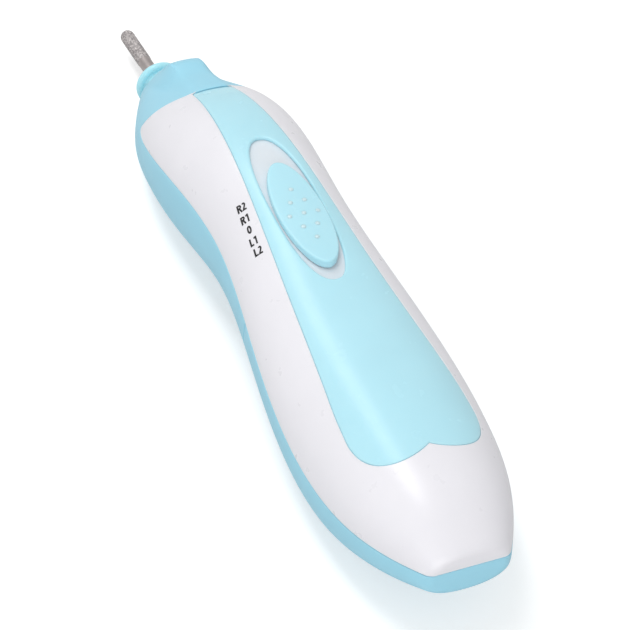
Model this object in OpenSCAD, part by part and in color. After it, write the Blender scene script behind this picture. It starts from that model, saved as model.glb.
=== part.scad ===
// Cordless callus remover: a battery handle with a five-position slide switch
// and a diamond-coated bit that turns in the nose.
// X runs from the tail to the nose, Y towards the side with the switch marks,
// Z up. The handle lies on Z = 0, on its belly and on its chin. Places along X
// are counted from the tail face, and placed() moves each piece to the origin
// under the middle of the whole object.

/* [Handle] */
// Length from the tail face to the nose rim
body_l = 160; // [154:1:176]
// Thickness of the shell walls
wall = 2; // [1.6:0.1:2.2]
// Width of the flat tail face
tail_w = 17.4; // [15:0.2:20]
// Height of the top of the tail face
tail_top = 23.2; // [22.5:0.1:24.5]
// Height of the tail face itself
tail_h = 10.5; // [9:0.1:12]
// Free width between each battery and the shell wall at the belly
belly_room = 2.7; // [2.6:0.1:5]
// Height of the top over the belly
belly_top = 33.5; // [33:0.1:36]
// Width at the waist, under the switch
waist_w = 30.2; // [29.6:0.1:33]
// Height of the top over the waist
waist_top = 37; // [36.5:0.1:38]
// Height of the arch under the waist
waist_lift = 6; // [4:0.1:6.4]
// Width at the shoulder, round the motor
shoulder_w = 33; // [31:0.1:36]
// Height of the top over the shoulder
shoulder_top = 35.8; // [34.5:0.1:37]
// Diameter of the nose rim
rim_d = 13.2; // [12.8:0.1:14]
// Width of the raised strip on the nose
ridge_w = 9; // [8:0.1:10]

/* [Covers and panel] */
// Distance from the tail to the front edge of the battery cover
cover_l = 73; // [72.8:0.1:76]
// Clearance round the battery cover
cover_gap = 0.3; // [0.2:0.05:0.5]
// Thickness of the inlaid top panel
panel_t = 0.9; // [0.7:0.05:1.2]
// Clearance round the top panel
panel_gap = 0.12; // [0.05:0.01:0.3]
// Width of the top panel at the belly
panel_w = 27; // [24:0.2:29]
// Width of the top panel at the nose
panel_front_w = 8.8; // [8:0.1:10]
// Distance from the tail to the cusp between the panel's two lobes
panel_cusp = 21.9; // [21:0.1:26]

/* [Switch] */
// Distance from the nose rim to the middle of the switch recess, position 0
switch_from_rim = 71.8; // [70:0.1:74]
// Distance between two neighbouring switch positions
switch_step = 2.95; // [2.5:0.05:3.2]
// Length of the sliding button
button_l = 29.6; // [26:0.1:32]
// Width of the sliding button
button_w = 10; // [9:0.1:10.4]
// Height of the button's crown over the recess floor
button_h = 2; // [1.6:0.1:2.6]
// Clearance beside the button in its recess
button_side_gap = 0.5; // [0.3:0.05:0.8]
// Distance between neighbouring rows of grip dots
dot_pitch = 3.4; // [3:0.1:3.8]

/* [Drive] */
// Height of the spindle axis at the nose rim
axis_z = 8.4; // [8.2:0.1:9]
// Angle by which the spindle points down towards the bit
drive_tilt = 6.2; // [5:0.1:6.6]
// Diameter of the bit
bit_d = 3.2; // [2.6:0.1:3.6]
// Free length of the bit in front of the nose rim
bit_out = 27.4; // [22:0.2:34]
// Length of the grit-coated end of the bit
grit_l = 12.8; // [8:0.2:15]
// Diameter of the shank inside the spindle
shank_d = 2.35; // [2.2:0.05:2.5]
// Diameter of the spindle
spindle_d = 5; // [4.6:0.1:5.4]
// Running clearance of the spindle in its bushes, on the radius
running_gap = 0.03; // [0.02:0.01:0.06]
// Diameter of the bead round the nose collar
bead_d = 11.2; // [11:0.1:12.4]
// Diameter of the motor can
motor_d = 15.5; // [15:0.1:16]
// Height of the motor can over its two flats
motor_flat = 12; // [11:0.1:13]
// Length of the motor can
motor_l = 25; // [22:0.5:27]
// Diameter of the motor shaft
motor_shaft_d = 2; // [1.5:0.1:2.3]

/* [Power] */
// Diameter of a battery
cell_d = 14.5; // [13.5:0.1:14.5]
// Length of a battery with its button
cell_l = 50.5; // [49.2:0.1:50.5]
// Space between the two batteries
cell_gap = 0.4; // [0.2:0.1:0.8]
// Height of the battery axes
cell_z = 17; // [16.6:0.1:17.4]
// Working length of a contact spring
spring_l = 4; // [3:0.1:4.5]
// Diameter of the switch and motor wires
wire_d = 1.2; // [0.8:0.1:1.6]

/* [Hidden] */

$fn = 48;
eps = 0.01;

shell_white = [0.91, 0.91, 0.93];
shell_blue = [0.60, 0.83, 0.91];
panel_blue = [0.72, 0.91, 0.96];
steel = [0.70, 0.70, 0.72];
brass = [0.80, 0.66, 0.35];
copper = [0.75, 0.42, 0.22];
black = [0.12, 0.12, 0.13];

// ---- Shape of the handle ----

tail_bottom = tail_top - tail_h;
belly_w = 2 * cell_d + cell_gap + 2 * (wall + belly_room);
// Longer than any cut across the handle needs to be
reach = belly_w + belly_top;
land = 0.4;
chin_land = 0.1;

// Sections of the handle: place, half width, top, bottom. The front ones are
// set out from the nose rim, and each follows the named size next to it.
sections = [
    [0, tail_w / 2, tail_top, tail_bottom],
    [6, tail_w / 2 + 3.4, tail_top + 3.8, tail_bottom - 3.7],
    [16, belly_w / 2 - 3.1, belly_top - 3, tail_bottom - 8.5],
    [30, belly_w / 2 - 0.5, belly_top - 0.8, -land],
    [44, belly_w / 2, belly_top, -land],
    [68, (belly_w + waist_w) / 4 + 0.25, belly_top + 0.9, waist_lift - 1.2],
    [body_l - 66, waist_w / 2, waist_top, waist_lift],
    [body_l - 42, shoulder_w / 2, shoulder_top, 2.4],
    [body_l - 26, shoulder_w / 2 - 0.7, shoulder_top - 5.4, 1],
    [body_l - 14, shoulder_w / 2 - 3.5, axis_z + 15.2, -chin_land],
    [body_l - 6, rim_d / 2 + 3, axis_z + 11, 0.3],
    [body_l, rim_d / 2, axis_z + rim_d / 2, axis_z - rim_d / 2]
];
// How far up its height a section is widest, and how square it is
widest_share = 0.45;
squareness = 2.28;

// Cubic curve through a table's column k, at place x
function chord(t, i, k) = (t[i + 1][k] - t[i][k]) / (t[i + 1][0] - t[i][0]);
function span(t, i) = t[i + 1][0] - t[i][0];
function bend(t, i, k) =
    i == 0 ? 1.5 * chord(t, 0, k) - 0.5 * bend(t, 1, k) :
    i == len(t) - 1 ? 1.5 * chord(t, i - 1, k) - 0.5 * bend(t, i - 1, k) :
    (span(t, i - 1) * chord(t, i, k) + span(t, i) * chord(t, i - 1, k))
        / (span(t, i - 1) + span(t, i));
function segment(t, x, i = 0) = i >= len(t) - 2 || x < t[i + 1][0] ? i : segment(t, x, i + 1);
function blend(t, k, x, i, s) =
    (2 * pow(s, 3) - 3 * pow(s, 2) + 1) * t[i][k]
    + (pow(s, 3) - 2 * pow(s, 2) + s) * span(t, i) * bend(t, i, k)
    + (3 * pow(s, 2) - 2 * pow(s, 3)) * t[i + 1][k]
    + (pow(s, 3) - pow(s, 2)) * span(t, i) * bend(t, i + 1, k);
function along(t, k, x) =
    let (i = segment(t, x), s = (x - t[i][0]) / span(t, i)) blend(t, k, x, i, s);

// One ring of points round a section, drawn in by inset
function ring(t, x, inset, power, sides) =
    let (w = along(t, 1, x) - inset, hi = along(t, 2, x) - inset, lo = along(t, 3, x) + inset,
        mid = lo + widest_share * (hi - lo))
    [for (i = [0 : sides - 1])
        let (a = 360 * (i + 0.5) / sides, s = rounded(sin(a), power))
        [x, w * rounded(cos(a), power), mid + (s > 0 ? hi - mid : mid - lo) * s]];

module skin(t, places, inset = 0, power = squareness, sides = 32) {
    rings = [for (x = places) each ring(t, x, inset, power, sides)];
    last = (len(places) - 1) * sides;
    polyhedron(rings, concat(
        [for (j = [1 : sides - 2]) [0, j, j + 1]],
        [for (j = [1 : sides - 2]) [last, last + j + 1, last + j]],
        [for (i = [0 : len(places) - 2]) for (j = [0 : sides - 1])
            let (a = i * sides + j, b = i * sides + (j + 1) % sides)
            each [[a, a + sides, b], [b, a + sides, b + sides]]]));
}

// Places of the rings: closer together where the shape turns faster
pace = [0, 2.5, 6, 10, 14.5, 20, 27, 35, 44, 53, 62, 71, 80, 89, 98, 107];
nose_pace = [48, 42, 36, 30, 25, 20, 16, 12, 9, 6.5, 4, 2, 0];
ring_places = concat([for (x = pace) if (x < body_l - nose_pace[0] - 2) x],
    [for (x = nose_pace) body_l - x]);
function places(from, to) =
    concat([from], [for (x = ring_places) if (x > from + 1 && x < to - 1) x], [to]);
module handle(from = 0, to = body_l, inset = 0) {
    skin(sections, places(from, to), inset);
}

// ---- Lines that part the pieces ----

// Height of the seam between the white and the blue shells
seam = [
    [0, tail_top - 3.8],
    [30, belly_top - 17.5],
    [68, belly_top - 12.7],
    [body_l - 62, waist_top - 12.6],
    [body_l - 39, shoulder_top - 13.7],
    [body_l - 24, shoulder_top - 17.2]
];
gap_x = body_l - 25.1;
gap_z = shoulder_top - 5.6;
white_tip = [body_l - 17.6, shoulder_top - 20.2];
seam_steps = 30;

function bezier(p, s) = pow(1 - s, 3) * p[0] + 3 * pow(1 - s, 2) * s * p[1]
    + 3 * (1 - s) * pow(s, 2) * p[2] + pow(s, 3) * p[3];

seam_end = seam[len(seam) - 1];
white_outline = concat(
    [[-reach, reach], [-reach, seam[0][1]]],
    [for (i = [0 : seam_steps]) let (x = seam_end[0] * i / seam_steps) [x, along(seam, 1, x)]],
    [for (i = [1 : 6]) bezier([seam_end, seam_end + [3.6, -0.9], white_tip + [0.4, -1.9],
        white_tip + [-0.7, 1.9]], i / 6)],
    [[gap_x + 0.3, gap_z], [gap_x, gap_z + 0.6], [gap_x, reach]]);

module side_cut(outline) {
    rotate([90, 0, 0])
        linear_extrude(2 * reach, center = true) polygon(outline);
}
module white_side() side_cut(white_outline);

// Outline of the top panel seen from above, grown by a clearance
taper_x = 42;
panel_side_x = 29;
panel_edge_steps = 12;
function lobe(grow) = [for (i = [0 : panel_edge_steps])
    bezier([[panel_cusp - grow, 0], [panel_cusp - 2.3 - grow, 3.5],
        [panel_cusp - 4.4 - grow, panel_w / 2 - 0.7 + grow],
        [panel_side_x, panel_w / 2 + grow]], i / panel_edge_steps)];
function half_panel(grow) = concat(lobe(grow), [
    [(panel_side_x + taper_x) / 2, panel_w / 2 - 0.25 + grow],
    [taper_x, panel_w / 2 - 0.85 + grow],
    [(taper_x + gap_x) / 2, (panel_w + panel_front_w) / 4 - 0.75 + grow],
    [gap_x - panel_gap + grow, panel_front_w / 2 + grow]]);
function flip(points) = [for (i = [len(points) - 1 : -1 : 1]) [points[i][0], -points[i][1]]];
module panel_prism(grow) {
    translate([0, 0, belly_top / 2])
        linear_extrude(reach) polygon(concat(half_panel(grow), flip(half_panel(grow))));
}

// ---- Places that the drive and the switch share ----

// The origin lies under the middle of the whole object, bit included
tip_x = body_l + (bit_out - bit_d / 2) * cos(drive_tilt) + bit_d / 2;
module placed() translate([-tip_x / 2, 0, 0]) children();

module in_drive() translate([body_l, 0, axis_z]) rotate([0, drive_tilt, 0]) children();
module rod(from, to, d) translate([from, 0, 0]) rotate([0, 90, 0]) cylinder(h = to - from, d = d);
module pipe(from, to, d, bore) {
    difference() {
        rod(from, to, d);
        rod(from - 1, to + 1, bore);
    }
}

rim_face = -0.8;
collar_back = -15;
barrel_d = 10;
bush_d = 7;
bush_l = 4.5;
neck_front = 3.15;
bead_tube = 1.9;
spindle_back = -18;
shaft_join = -21.3;
coupling_d = 6;
coupling_from = -24.8;
motor_front = -30;
motor_back = motor_front - motor_l;
can_t = 0.6;

switch_x = body_l - switch_from_rim;
button_end_gap = 0.4;
recess_l = button_l + 4 * switch_step + 2 * button_end_gap;
recess_w = button_w + 2 * button_side_gap;
recess_power = 2.3;
floor_drop = 1.34;
floor_arc = 550;
floor_t = 0.8;
floor_z = along(sections, 2, switch_x) - floor_drop;
slide_tilt = 3.6;
rest_shift = -switch_step;
button_gap = 0.4;
oval_points = 48;

module in_switch() translate([switch_x, 0, floor_z]) rotate([0, -slide_tilt, 0]) children();
function rounded(v, power) = sign(v) * pow(abs(v), 2 / power);
module oval(l, w, from, to, power = 2) {
    translate([0, 0, from]) linear_extrude(to - from)
        polygon([for (i = [0 : oval_points - 1]) let (a = 360 * (i + 0.5) / oval_points)
            [l / 2 * rounded(cos(a), power), w / 2 * rounded(sin(a), power)]]);
}
// The recess floor is part of a wide arc along the handle
module floor_arc_solid(grow = 0) {
    translate([0, 0, -floor_arc]) rotate([90, 0, 0])
        cylinder(h = 30, r = floor_arc + grow, center = true, $fn = 360);
}

stem_l = 5;
stem_w = 3;
slot_clear = 0.4;
carriage_top = -1.8;
carriage_t = 2;
carriage_l = 11;
carriage_w = 8;
nose_d = 1.2;
board_top = -4.8;
board_t = 1;
board_w = 12;
post_d = 3.8;
post_x = carriage_l / 2 + 2 * switch_step + post_d / 2 + 0.3;
board_l = 2 * post_x + post_d;
board_screw_d = 1.6;

// ---- Places that the batteries and the tray share ----

bay_back = 18.3;
bay_front = bay_back + cell_l + spring_l;
cell_y = (cell_d + cell_gap) / 2;
plate_t = 0.4;
tray_w = 2 * cell_y + 3.9;
tray_floor = cell_z + cell_d / 2 + 0.45;
tray_t = 0.9;
tray_wall = 1.4;
tray_low = cell_z - 6.2;
flange_from = 7.5;
flange_z = 18.8;
flange_t = 1.4;
flange_w = 16.4;
tail_screw = [11, 5.5];
waist_screw = [body_l - 63, 9.5];
screw_d = 2.6;
screw_l = 7;
screw_head_d = 4.4;
screw_head_h = 1.8;
screw_clear = 0.1;
boss_d = 5.6;
well_d = 5.2;
column_d = 8.2;
column_top = along(seam, 1, waist_screw[0]);
screw_seat = 2;

module both_sides() {
    children();
    mirror([0, 1, 0]) children();
}
module post(p, from, to, d) translate([p[0], p[1], from]) cylinder(h = to - from, d = d);

// ---- Casings ----

tray_ribs = [bay_back + 16.7, switch_x - board_l / 2 - 12.7];
tray_rib_w = 16;
rib_t = 1.6;
clamp_ribs = [body_l - 48, body_l - 37];
clamp_w = 10;

module upper_ribs() {
    for (x = tray_ribs)
        translate([x, -tray_rib_w / 2, tray_floor + tray_t + 0.05])
            cube([rib_t, tray_rib_w, reach]);
    for (x = clamp_ribs)
        translate([x, -clamp_w / 2, 0]) cube([rib_t, clamp_w, reach]);
    both_sides() post(tail_screw, flange_z + flange_t + 0.05, reach, boss_d);
    both_sides() post(waist_screw, 0, reach, boss_d);
    in_switch() for (x = [-post_x, post_x])
        post([x, 0], board_top, 0, post_d);
}
// The recess keeps a floor under it wherever the hollow would come too close
module recess_floor() in_switch() difference() {
    oval(recess_l + 2 * floor_t, recess_w + 2 * floor_t, -2 * floor_t, 2 * floor_t, recess_power);
    floor_arc_solid(-floor_t);
}
module button_slot() {
    l = stem_l + 4 * switch_step + 2 * slot_clear;
    w = stem_w + 2 * slot_clear;
    in_switch() translate([-l / 2, -w / 2, -2 * wall]) cube([l, w, 4 * wall]);
}
module upper_shell() placed() color(shell_white) difference() {
    intersection() {
        handle(0, white_tip[0] + 2);
        white_side();
    }
    difference() {
        handle(wall, white_tip[0] + 1, wall);
        upper_ribs();
        recess_floor();
    }
    difference() {
        panel_prism(panel_gap);
        handle(panel_cusp - 6, gap_x + 2, panel_t);
    }
    in_switch() difference() {
        oval(recess_l, recess_w, -5, 10, recess_power);
        floor_arc_solid();
    }
    button_slot();
    both_sides() post(tail_screw, 0, flange_z + screw_l + 0.2, screw_d + screw_clear);
    both_sides() post(waist_screw, 0, column_top - screw_seat + screw_l + 0.2,
        screw_d + screw_clear);
    in_switch() for (x = [-post_x, post_x])
        post([x, 0], board_top - 1, board_top + 2.6, board_screw_d + screw_clear);
}

ridge_sections = [
    [gap_x + 0.25, panel_front_w / 2, gap_z + 0.1, axis_z],
    [body_l - 20, ridge_w / 2 - 0.1, shoulder_top - 7.3, axis_z],
    [body_l - 14, ridge_w / 2 + 0.1, axis_z + 18.3, axis_z],
    [body_l - 9, ridge_w / 2 + 0.3, axis_z + 17.2, axis_z],
    [body_l - 5.5, ridge_w / 2 + 0.4, axis_z + 13.5, axis_z],
    [body_l - 2.5, ridge_w / 2 + 0.2, axis_z + 10.1, axis_z],
    [body_l, ridge_w / 2 - 0.5, axis_z + rim_d / 2, axis_z]
];
ridge_power = 4;
ridge_places = concat([gap_x + 0.25],
    [for (x = [22, 18, 14, 11, 9, 7, 5.2, 3.6, 1.8, 0]) body_l - x]);

cradles = [-50, -36];
cradle_t = 2;
cradle_w = 22;
cradle_clear = 0.05;
seat_d = 14;
bulkhead_x = bay_front + plate_t + tray_wall + 2.4;

module can_shape(d, flat, from, to) {
    intersection() {
        rod(from, to, d);
        translate([from, -d, -flat / 2]) cube([to - from, 2 * d, flat]);
    }
}
module lower_ribs() {
    in_drive() {
        for (x = cradles)
            translate([x, -cradle_w / 2, -reach]) cube([cradle_t, cradle_w, reach]);
        rod(collar_back, 2, seat_d);
    }
    both_sides() post(waist_screw, 0, reach, column_d);
    translate([bulkhead_x, -belly_w / 2, 0]) cube([rib_t, belly_w, cell_z - 2 * wall]);
}
module lower_shell() placed() color(shell_blue) difference() {
    union() {
        handle(cover_l, body_l);
        skin(ridge_sections, ridge_places, 0, ridge_power, 24);
    }
    white_side();
    difference() {
        handle(cover_l - 1, body_l - wall, wall);
        lower_ribs();
    }
    in_drive() {
        can_shape(motor_d + 2 * cradle_clear, motor_flat + 2 * cradle_clear,
            motor_back - 1, motor_front + 1);
        rod(collar_back - 1, 5, barrel_d + 2 * cradle_clear);
        translate([rim_face, -reach / 2, -reach / 2]) cube(reach);
    }
    both_sides() post(waist_screw, -1, column_top - screw_seat, well_d);
    both_sides() post(waist_screw, 0, reach, screw_d + 2 * screw_clear);
    translate([0, -reach, -reach]) cube([2 * body_l, 2 * reach, reach]);
}

cover_outline = concat(
    [[-reach, 0], [-reach, seam[0][1] - cover_gap]],
    [for (i = [0 : seam_steps]) let (x = (cover_l - cover_gap) * i / seam_steps)
        [x, along(seam, 1, x) - cover_gap]],
    [[cover_l - cover_gap, 0]]);
saddles = [bay_back + 13.7, bay_front - 14.8];
saddle_clear = 0.35;
saddle_drop = 3;
module saddle_ribs() difference() {
    for (x = saddles)
        translate([x, -belly_w / 2, 0]) cube([rib_t, belly_w, cell_z - saddle_drop]);
    both_sides() translate([0, cell_y, cell_z]) rod(0, body_l, cell_d + 2 * saddle_clear);
}
module battery_cover() placed() color(shell_blue) difference() {
    intersection() {
        handle(0, cover_l + 2);
        side_cut(cover_outline);
    }
    difference() {
        handle(wall, cover_l + 4, wall);
        saddle_ribs();
    }
}

module top_panel() placed() color(panel_blue) difference() {
    intersection() {
        handle(panel_cusp - 5, gap_x + 3);
        panel_prism(0);
    }
    handle(panel_cusp - 6, gap_x + 4, panel_t - eps);
    in_switch() oval(recess_l, recess_w, -8, 10, recess_power);
    translate([gap_x - panel_gap, -reach, 0]) cube([reach, 2 * reach, reach]);
}

// ---- Switch ----

dot_d = 1.1;
dot_side = 1.55;
dot_rise = 0.25;
crown_r = 22;
module at_rest() in_switch() translate([rest_shift, 0, 0]) children();

module switch_button() placed() color(panel_blue) at_rest() {
    difference() {
        intersection() {
            oval(button_l, button_w, -2, button_h + 1);
            translate([0, 0, button_h - crown_r]) rod(-button_l, button_l, 2 * crown_r);
        }
        floor_arc_solid(button_gap);
    }
    for (i = [-1 : 1]) for (j = [-1 : 1]) {
        y = (i - j) * dot_side;
        translate([(i + j) * dot_pitch, y, button_h - crown_r + sqrt(pow(crown_r, 2) - pow(y, 2))
            + dot_rise - dot_d / 2]) sphere(d = dot_d, $fn = 24);
    }
    translate([-stem_l / 2, -stem_w / 2, carriage_top])
        cube([stem_l, stem_w, button_h - carriage_top - 0.6]);
}

module switch_carriage() placed() color(black) at_rest() {
    translate([-carriage_l / 2, -carriage_w / 2, carriage_top - carriage_t])
        cube([carriage_l, carriage_w, carriage_t]);
    translate([0, carriage_w / 2, carriage_top - carriage_t]) cylinder(h = carriage_t, d = nose_d);
}

leaf_t = 0.2;
leaf_l = 8;
finger_l = 2.2;
finger_w = 1.2;
finger_clear = 0.08;
module wiper_contact() placed() color(brass) at_rest() {
    z = carriage_top - carriage_t - leaf_t;
    slope = asin((z - board_top - finger_clear) / finger_l);
    translate([-leaf_l / 2, -carriage_w / 2 + 0.5, z]) cube([leaf_l, carriage_w - 1, leaf_t]);
    for (i = [-1 : 1])
        translate([leaf_l / 4, i * 2.3 - finger_w / 2, z]) rotate([0, slope, 0])
            cube([finger_l, finger_w, leaf_t]);
}

module switch_board() placed() color([0.10, 0.42, 0.22]) in_switch() {
    difference() {
        translate([-board_l / 2, -board_w / 2, board_top - board_t]) cube([board_l, board_w, board_t]);
        for (x = [-post_x, post_x])
            post([x, 0], board_top - board_t - 1, board_top + 1, board_screw_d + screw_clear);
    }
}

module board_screws() placed() color(steel) in_switch() for (x = [-post_x, post_x]) {
    post([x, 0], board_top - board_t - 1.1, board_top - board_t, 3);
    post([x, 0], board_top - board_t - eps, board_top + 2.4, board_screw_d);
}

rail_t = 1;
rail_h = 2.6;
notch_d = 1.8;
module detent_rail() placed() color(shell_white) in_switch() {
    rail_l = 6 * switch_step + 4;
    rail_y = carriage_w / 2 + nose_d / 2 + 0.3;
    difference() {
        translate([-rail_l / 2, rail_y, board_top]) cube([rail_l, rail_t, rail_h]);
        for (i = [-2 : 2])
            post([i * switch_step, rail_y - 0.3], board_top - 1, board_top + rail_h + 1, notch_d);
    }
}

// ---- Nose and spindle ----

mouth_d = 6.4;
lip_d = 6;
lip_u = 3.2;
groove_r = 4;
bead_u = neck_front + 0.7 + bead_tube / 2;
module nose_collar() placed() color(shell_blue) in_drive() rotate([0, 90, 0]) rotate_extrude($fn = 64) {
    difference() {
        union() {
            polygon([[0, collar_back], [barrel_d / 2, collar_back], [barrel_d / 2, rim_face],
                [barrel_d / 2 + 0.6, rim_face], [barrel_d / 2 + 0.6, 0], [barrel_d / 2, 0.5],
                [groove_r, neck_front], [groove_r, bead_u], [0, bead_u]]);
            translate([(bead_d - bead_tube) / 2, bead_u]) circle(d = bead_tube);
            translate([0, bead_u - bead_tube / 2]) square([(bead_d - bead_tube) / 2, bead_tube]);
        }
        translate([-eps, collar_back - 1])
            square([bush_d / 2 + running_gap + eps, lip_u - collar_back + 1]);
        translate([-eps, lip_u - 1]) square([lip_d / 2 + eps, 10]);
        polygon([[-eps, bead_u], [lip_d / 2, bead_u], [mouth_d / 2 + 0.6, bead_u + bead_tube / 2 + eps],
            [-eps, bead_u + bead_tube / 2 + eps]]);
    }
}

seal_t = 1;
module front_bush() placed() color(brass) in_drive()
    pipe(lip_u - seal_t - 0.1 - bush_l, lip_u - seal_t - 0.1, bush_d, spindle_d);
module rear_bush() placed() color(brass) in_drive()
    pipe(collar_back, collar_back + bush_l, bush_d, spindle_d);
module dust_seal() placed() color([0.85, 0.83, 0.78]) in_drive()
    pipe(lip_u - seal_t - 0.05, lip_u - 0.05, bush_d - 0.1, spindle_d + 0.2);

shank_back = -12.5;
shank_step = 4.4;
shank_fit = 0.03;
grit_t = 0.17;
module spindle() placed() color(steel) in_drive() {
    d = spindle_d - 2 * running_gap;
    difference() {
        union() {
            rod(spindle_back, lip_u - 0.2, d);
            rod(shaft_join + 0.1, spindle_back + eps, motor_shaft_d);
        }
        rod(shank_back - 0.3, lip_u + 1, shank_d + 2 * shank_fit);
    }
}
module thrust_washer() placed() color(brass) in_drive()
    pipe(collar_back - 0.7, collar_back - 0.1, bush_d - 0.4, spindle_d - 2 * running_gap + 2 * eps);
module shaft_coupling() placed() color(black) in_drive()
    pipe(coupling_from, spindle_back - 0.1, coupling_d, motor_shaft_d + 2 * eps);

module bit_shank() placed() color(steel) in_drive() {
    rod(shank_back, shank_step + eps, shank_d);
    rod(shank_step, bit_out - grit_l, bit_d - 2 * grit_t);
}
module bit_head() placed() color([0.55, 0.53, 0.52]) in_drive() {
    rod(bit_out - grit_l, bit_out - bit_d / 2, bit_d);
    translate([bit_out - bit_d / 2, 0, 0]) sphere(d = bit_d);
}

// ---- Motor ----

module motor_can() placed() color(steel) in_drive() difference() {
    union() {
        can_shape(motor_d, motor_flat, motor_back, motor_front);
        rod(motor_front - eps, motor_front + 1.3, 6);
    }
    can_shape(motor_d - 2 * can_t, motor_flat - 2 * can_t, motor_back - 1, motor_front - can_t);
    rod(motor_front - 1, motor_front + 2, motor_shaft_d + 2 * running_gap);
}

rotor_d = 9.6;
core_back = motor_front - 16.5;
core_front = motor_front - 4.5;
magnet_t = 1.5;
magnet_half = 5;
magnet_from = 2.4;
module motor_magnets() placed() color([0.25, 0.25, 0.27]) in_drive() {
    outer = motor_d - 2 * can_t - 0.2;
    for (side = [0, 180]) rotate([side, 0, 0]) intersection() {
        pipe(core_back - 1, core_front + 1, outer, outer - 2 * magnet_t);
        translate([core_back - 2, magnet_from, -magnet_half])
            cube([core_front - core_back + 4, outer, 2 * magnet_half]);
    }
}

bell_l = 4.4;
bell_lip = 0.8;
commutator_d = 4.2;
commutator_from = motor_back + 2.2;
commutator_to = motor_back + 6;
module motor_end_bell() placed() color([0.93, 0.92, 0.88]) in_drive() difference() {
    union() {
        can_shape(motor_d - 2 * can_t - 0.1, motor_flat - 2 * can_t - 0.1,
            motor_back, motor_back + bell_l);
        can_shape(motor_d, motor_flat, motor_back - bell_lip, motor_back - 0.02);
        rod(motor_back - bell_lip - 1, motor_back, 5);
    }
    can_shape(motor_d - 4, motor_flat - 3.6, motor_back + 1.2, motor_back + bell_l + 1);
    rod(motor_back - 3, motor_back + 3, motor_shaft_d + 2 * running_gap);
    for (y = [-brush_y, brush_y])
        translate([motor_back - 2, y - 0.35, -1.35]) cube([4, 0.7, 2.7]);
}
brush_y = commutator_d / 2 + 0.45;
module motor_brushes() placed() color(brass) in_drive() for (side = [-1, 1])
    translate([commutator_from, side * brush_y - 0.15, -1.1])
        cube([commutator_to - commutator_from - 0.4, 0.3, 2.2]);
terminal_back = motor_back - 3.6;
module motor_terminals() placed() color(brass) in_drive() for (side = [-1, 1])
    translate([terminal_back, side * brush_y - 0.2, -1.1])
        cube([commutator_from - terminal_back - 0.05, 0.4, 2.2]);
module motor_shaft() placed() color(steel) in_drive()
    rod(motor_back - 2.4, shaft_join - 0.1, motor_shaft_d);

pole_w = 2.6;
hub_d = 4.6;
tip_half = 3.2;
tip_t = 1;
module armature_outline() difference() {
    union() {
        circle(d = hub_d);
        for (a = [60, 180, 300]) rotate(a) {
            translate([0, -pole_w / 2]) square([rotor_d / 2 - tip_t / 2, pole_w]);
            intersection() {
                difference() {
                    circle(d = rotor_d);
                    circle(d = rotor_d - 2 * tip_t);
                }
                translate([0, -tip_half]) square([rotor_d, 2 * tip_half]);
            }
        }
    }
    circle(d = motor_shaft_d + 2 * eps);
}
module armature_core() placed() color([0.45, 0.45, 0.47]) in_drive()
    translate([core_back, 0, 0]) rotate([0, 90, 0])
        linear_extrude(core_front - core_back) armature_outline();
module one_winding() difference() {
    intersection() {
        translate([core_back - 1.2, -pole_w / 2 - 1, hub_d / 2 + 0.05])
            cube([core_front - core_back + 2.4, pole_w + 2, 1.2]);
        rod(core_back - 2, core_front + 2, rotor_d - 2 * tip_t - 0.1);
    }
    translate([core_back - 0.05, -pole_w / 2 - 0.05, 0])
        cube([core_front - core_back + 0.1, pole_w + 0.1, rotor_d]);
}
module armature_windings() placed() color(copper) in_drive() {
    for (a = [0, 120, 240])
        rotate([a, 0, 0]) one_winding();
}
module commutator() placed() color(copper) in_drive() difference() {
    pipe(commutator_from, commutator_to, commutator_d, motor_shaft_d + 2 * eps);
    for (a = [60, 180, 300]) rotate([a, 0, 0])
        translate([commutator_from - 1, -0.15, commutator_d / 2 - 0.5])
            cube([commutator_to - commutator_from + 2, 0.3, 1]);
}

pad_l = 13;
pad_w = 9;
pad_h = 15;
module motor_pad() placed() color([0.25, 0.26, 0.30]) difference() {
    in_drive() translate([core_back - 2.5, -pad_w / 2, motor_flat / 2]) cube([pad_l, pad_w, pad_h]);
    translate([0, 0, -0.05]) white_side();
}

// ---- Batteries and contacts ----

module battery_tray() placed() color(shell_white) {
    back = bay_back - plate_t - tray_wall - 0.1;
    front = bay_front + plate_t + 0.1;
    difference() {
        union() {
            translate([back, -tray_w / 2, tray_floor]) cube([front + tray_wall - back, tray_w, tray_t]);
            for (x = [back, front])
                translate([x, -tray_w / 2, tray_low])
                    cube([tray_wall, tray_w, tray_floor + tray_t - tray_low]);
            translate([flange_from, -flange_w / 2, flange_z])
                cube([back - flange_from + eps, flange_w, flange_t]);
        }
        both_sides() post(tail_screw, 0, reach, screw_d + 2 * screw_clear);
        for (y = [-cell_y, cell_y])
            translate([front - 1, y - 1.2, cell_z - 0.8]) cube([tray_wall + 2, 2.4, 1.6]);
    }
}

button_d = 5.2;
button_rise = 1;
module cell() color([0.16, 0.17, 0.19]) {
    rod(0, cell_l - button_rise, cell_d);
    rod(cell_l - button_rise - eps, cell_l, button_d);
}
module cell_left() placed() translate([bay_back + spring_l, cell_y, cell_z]) cell();
module cell_right() placed() translate([bay_back + cell_l, -cell_y, cell_z]) rotate([0, 0, 180]) cell();

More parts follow.
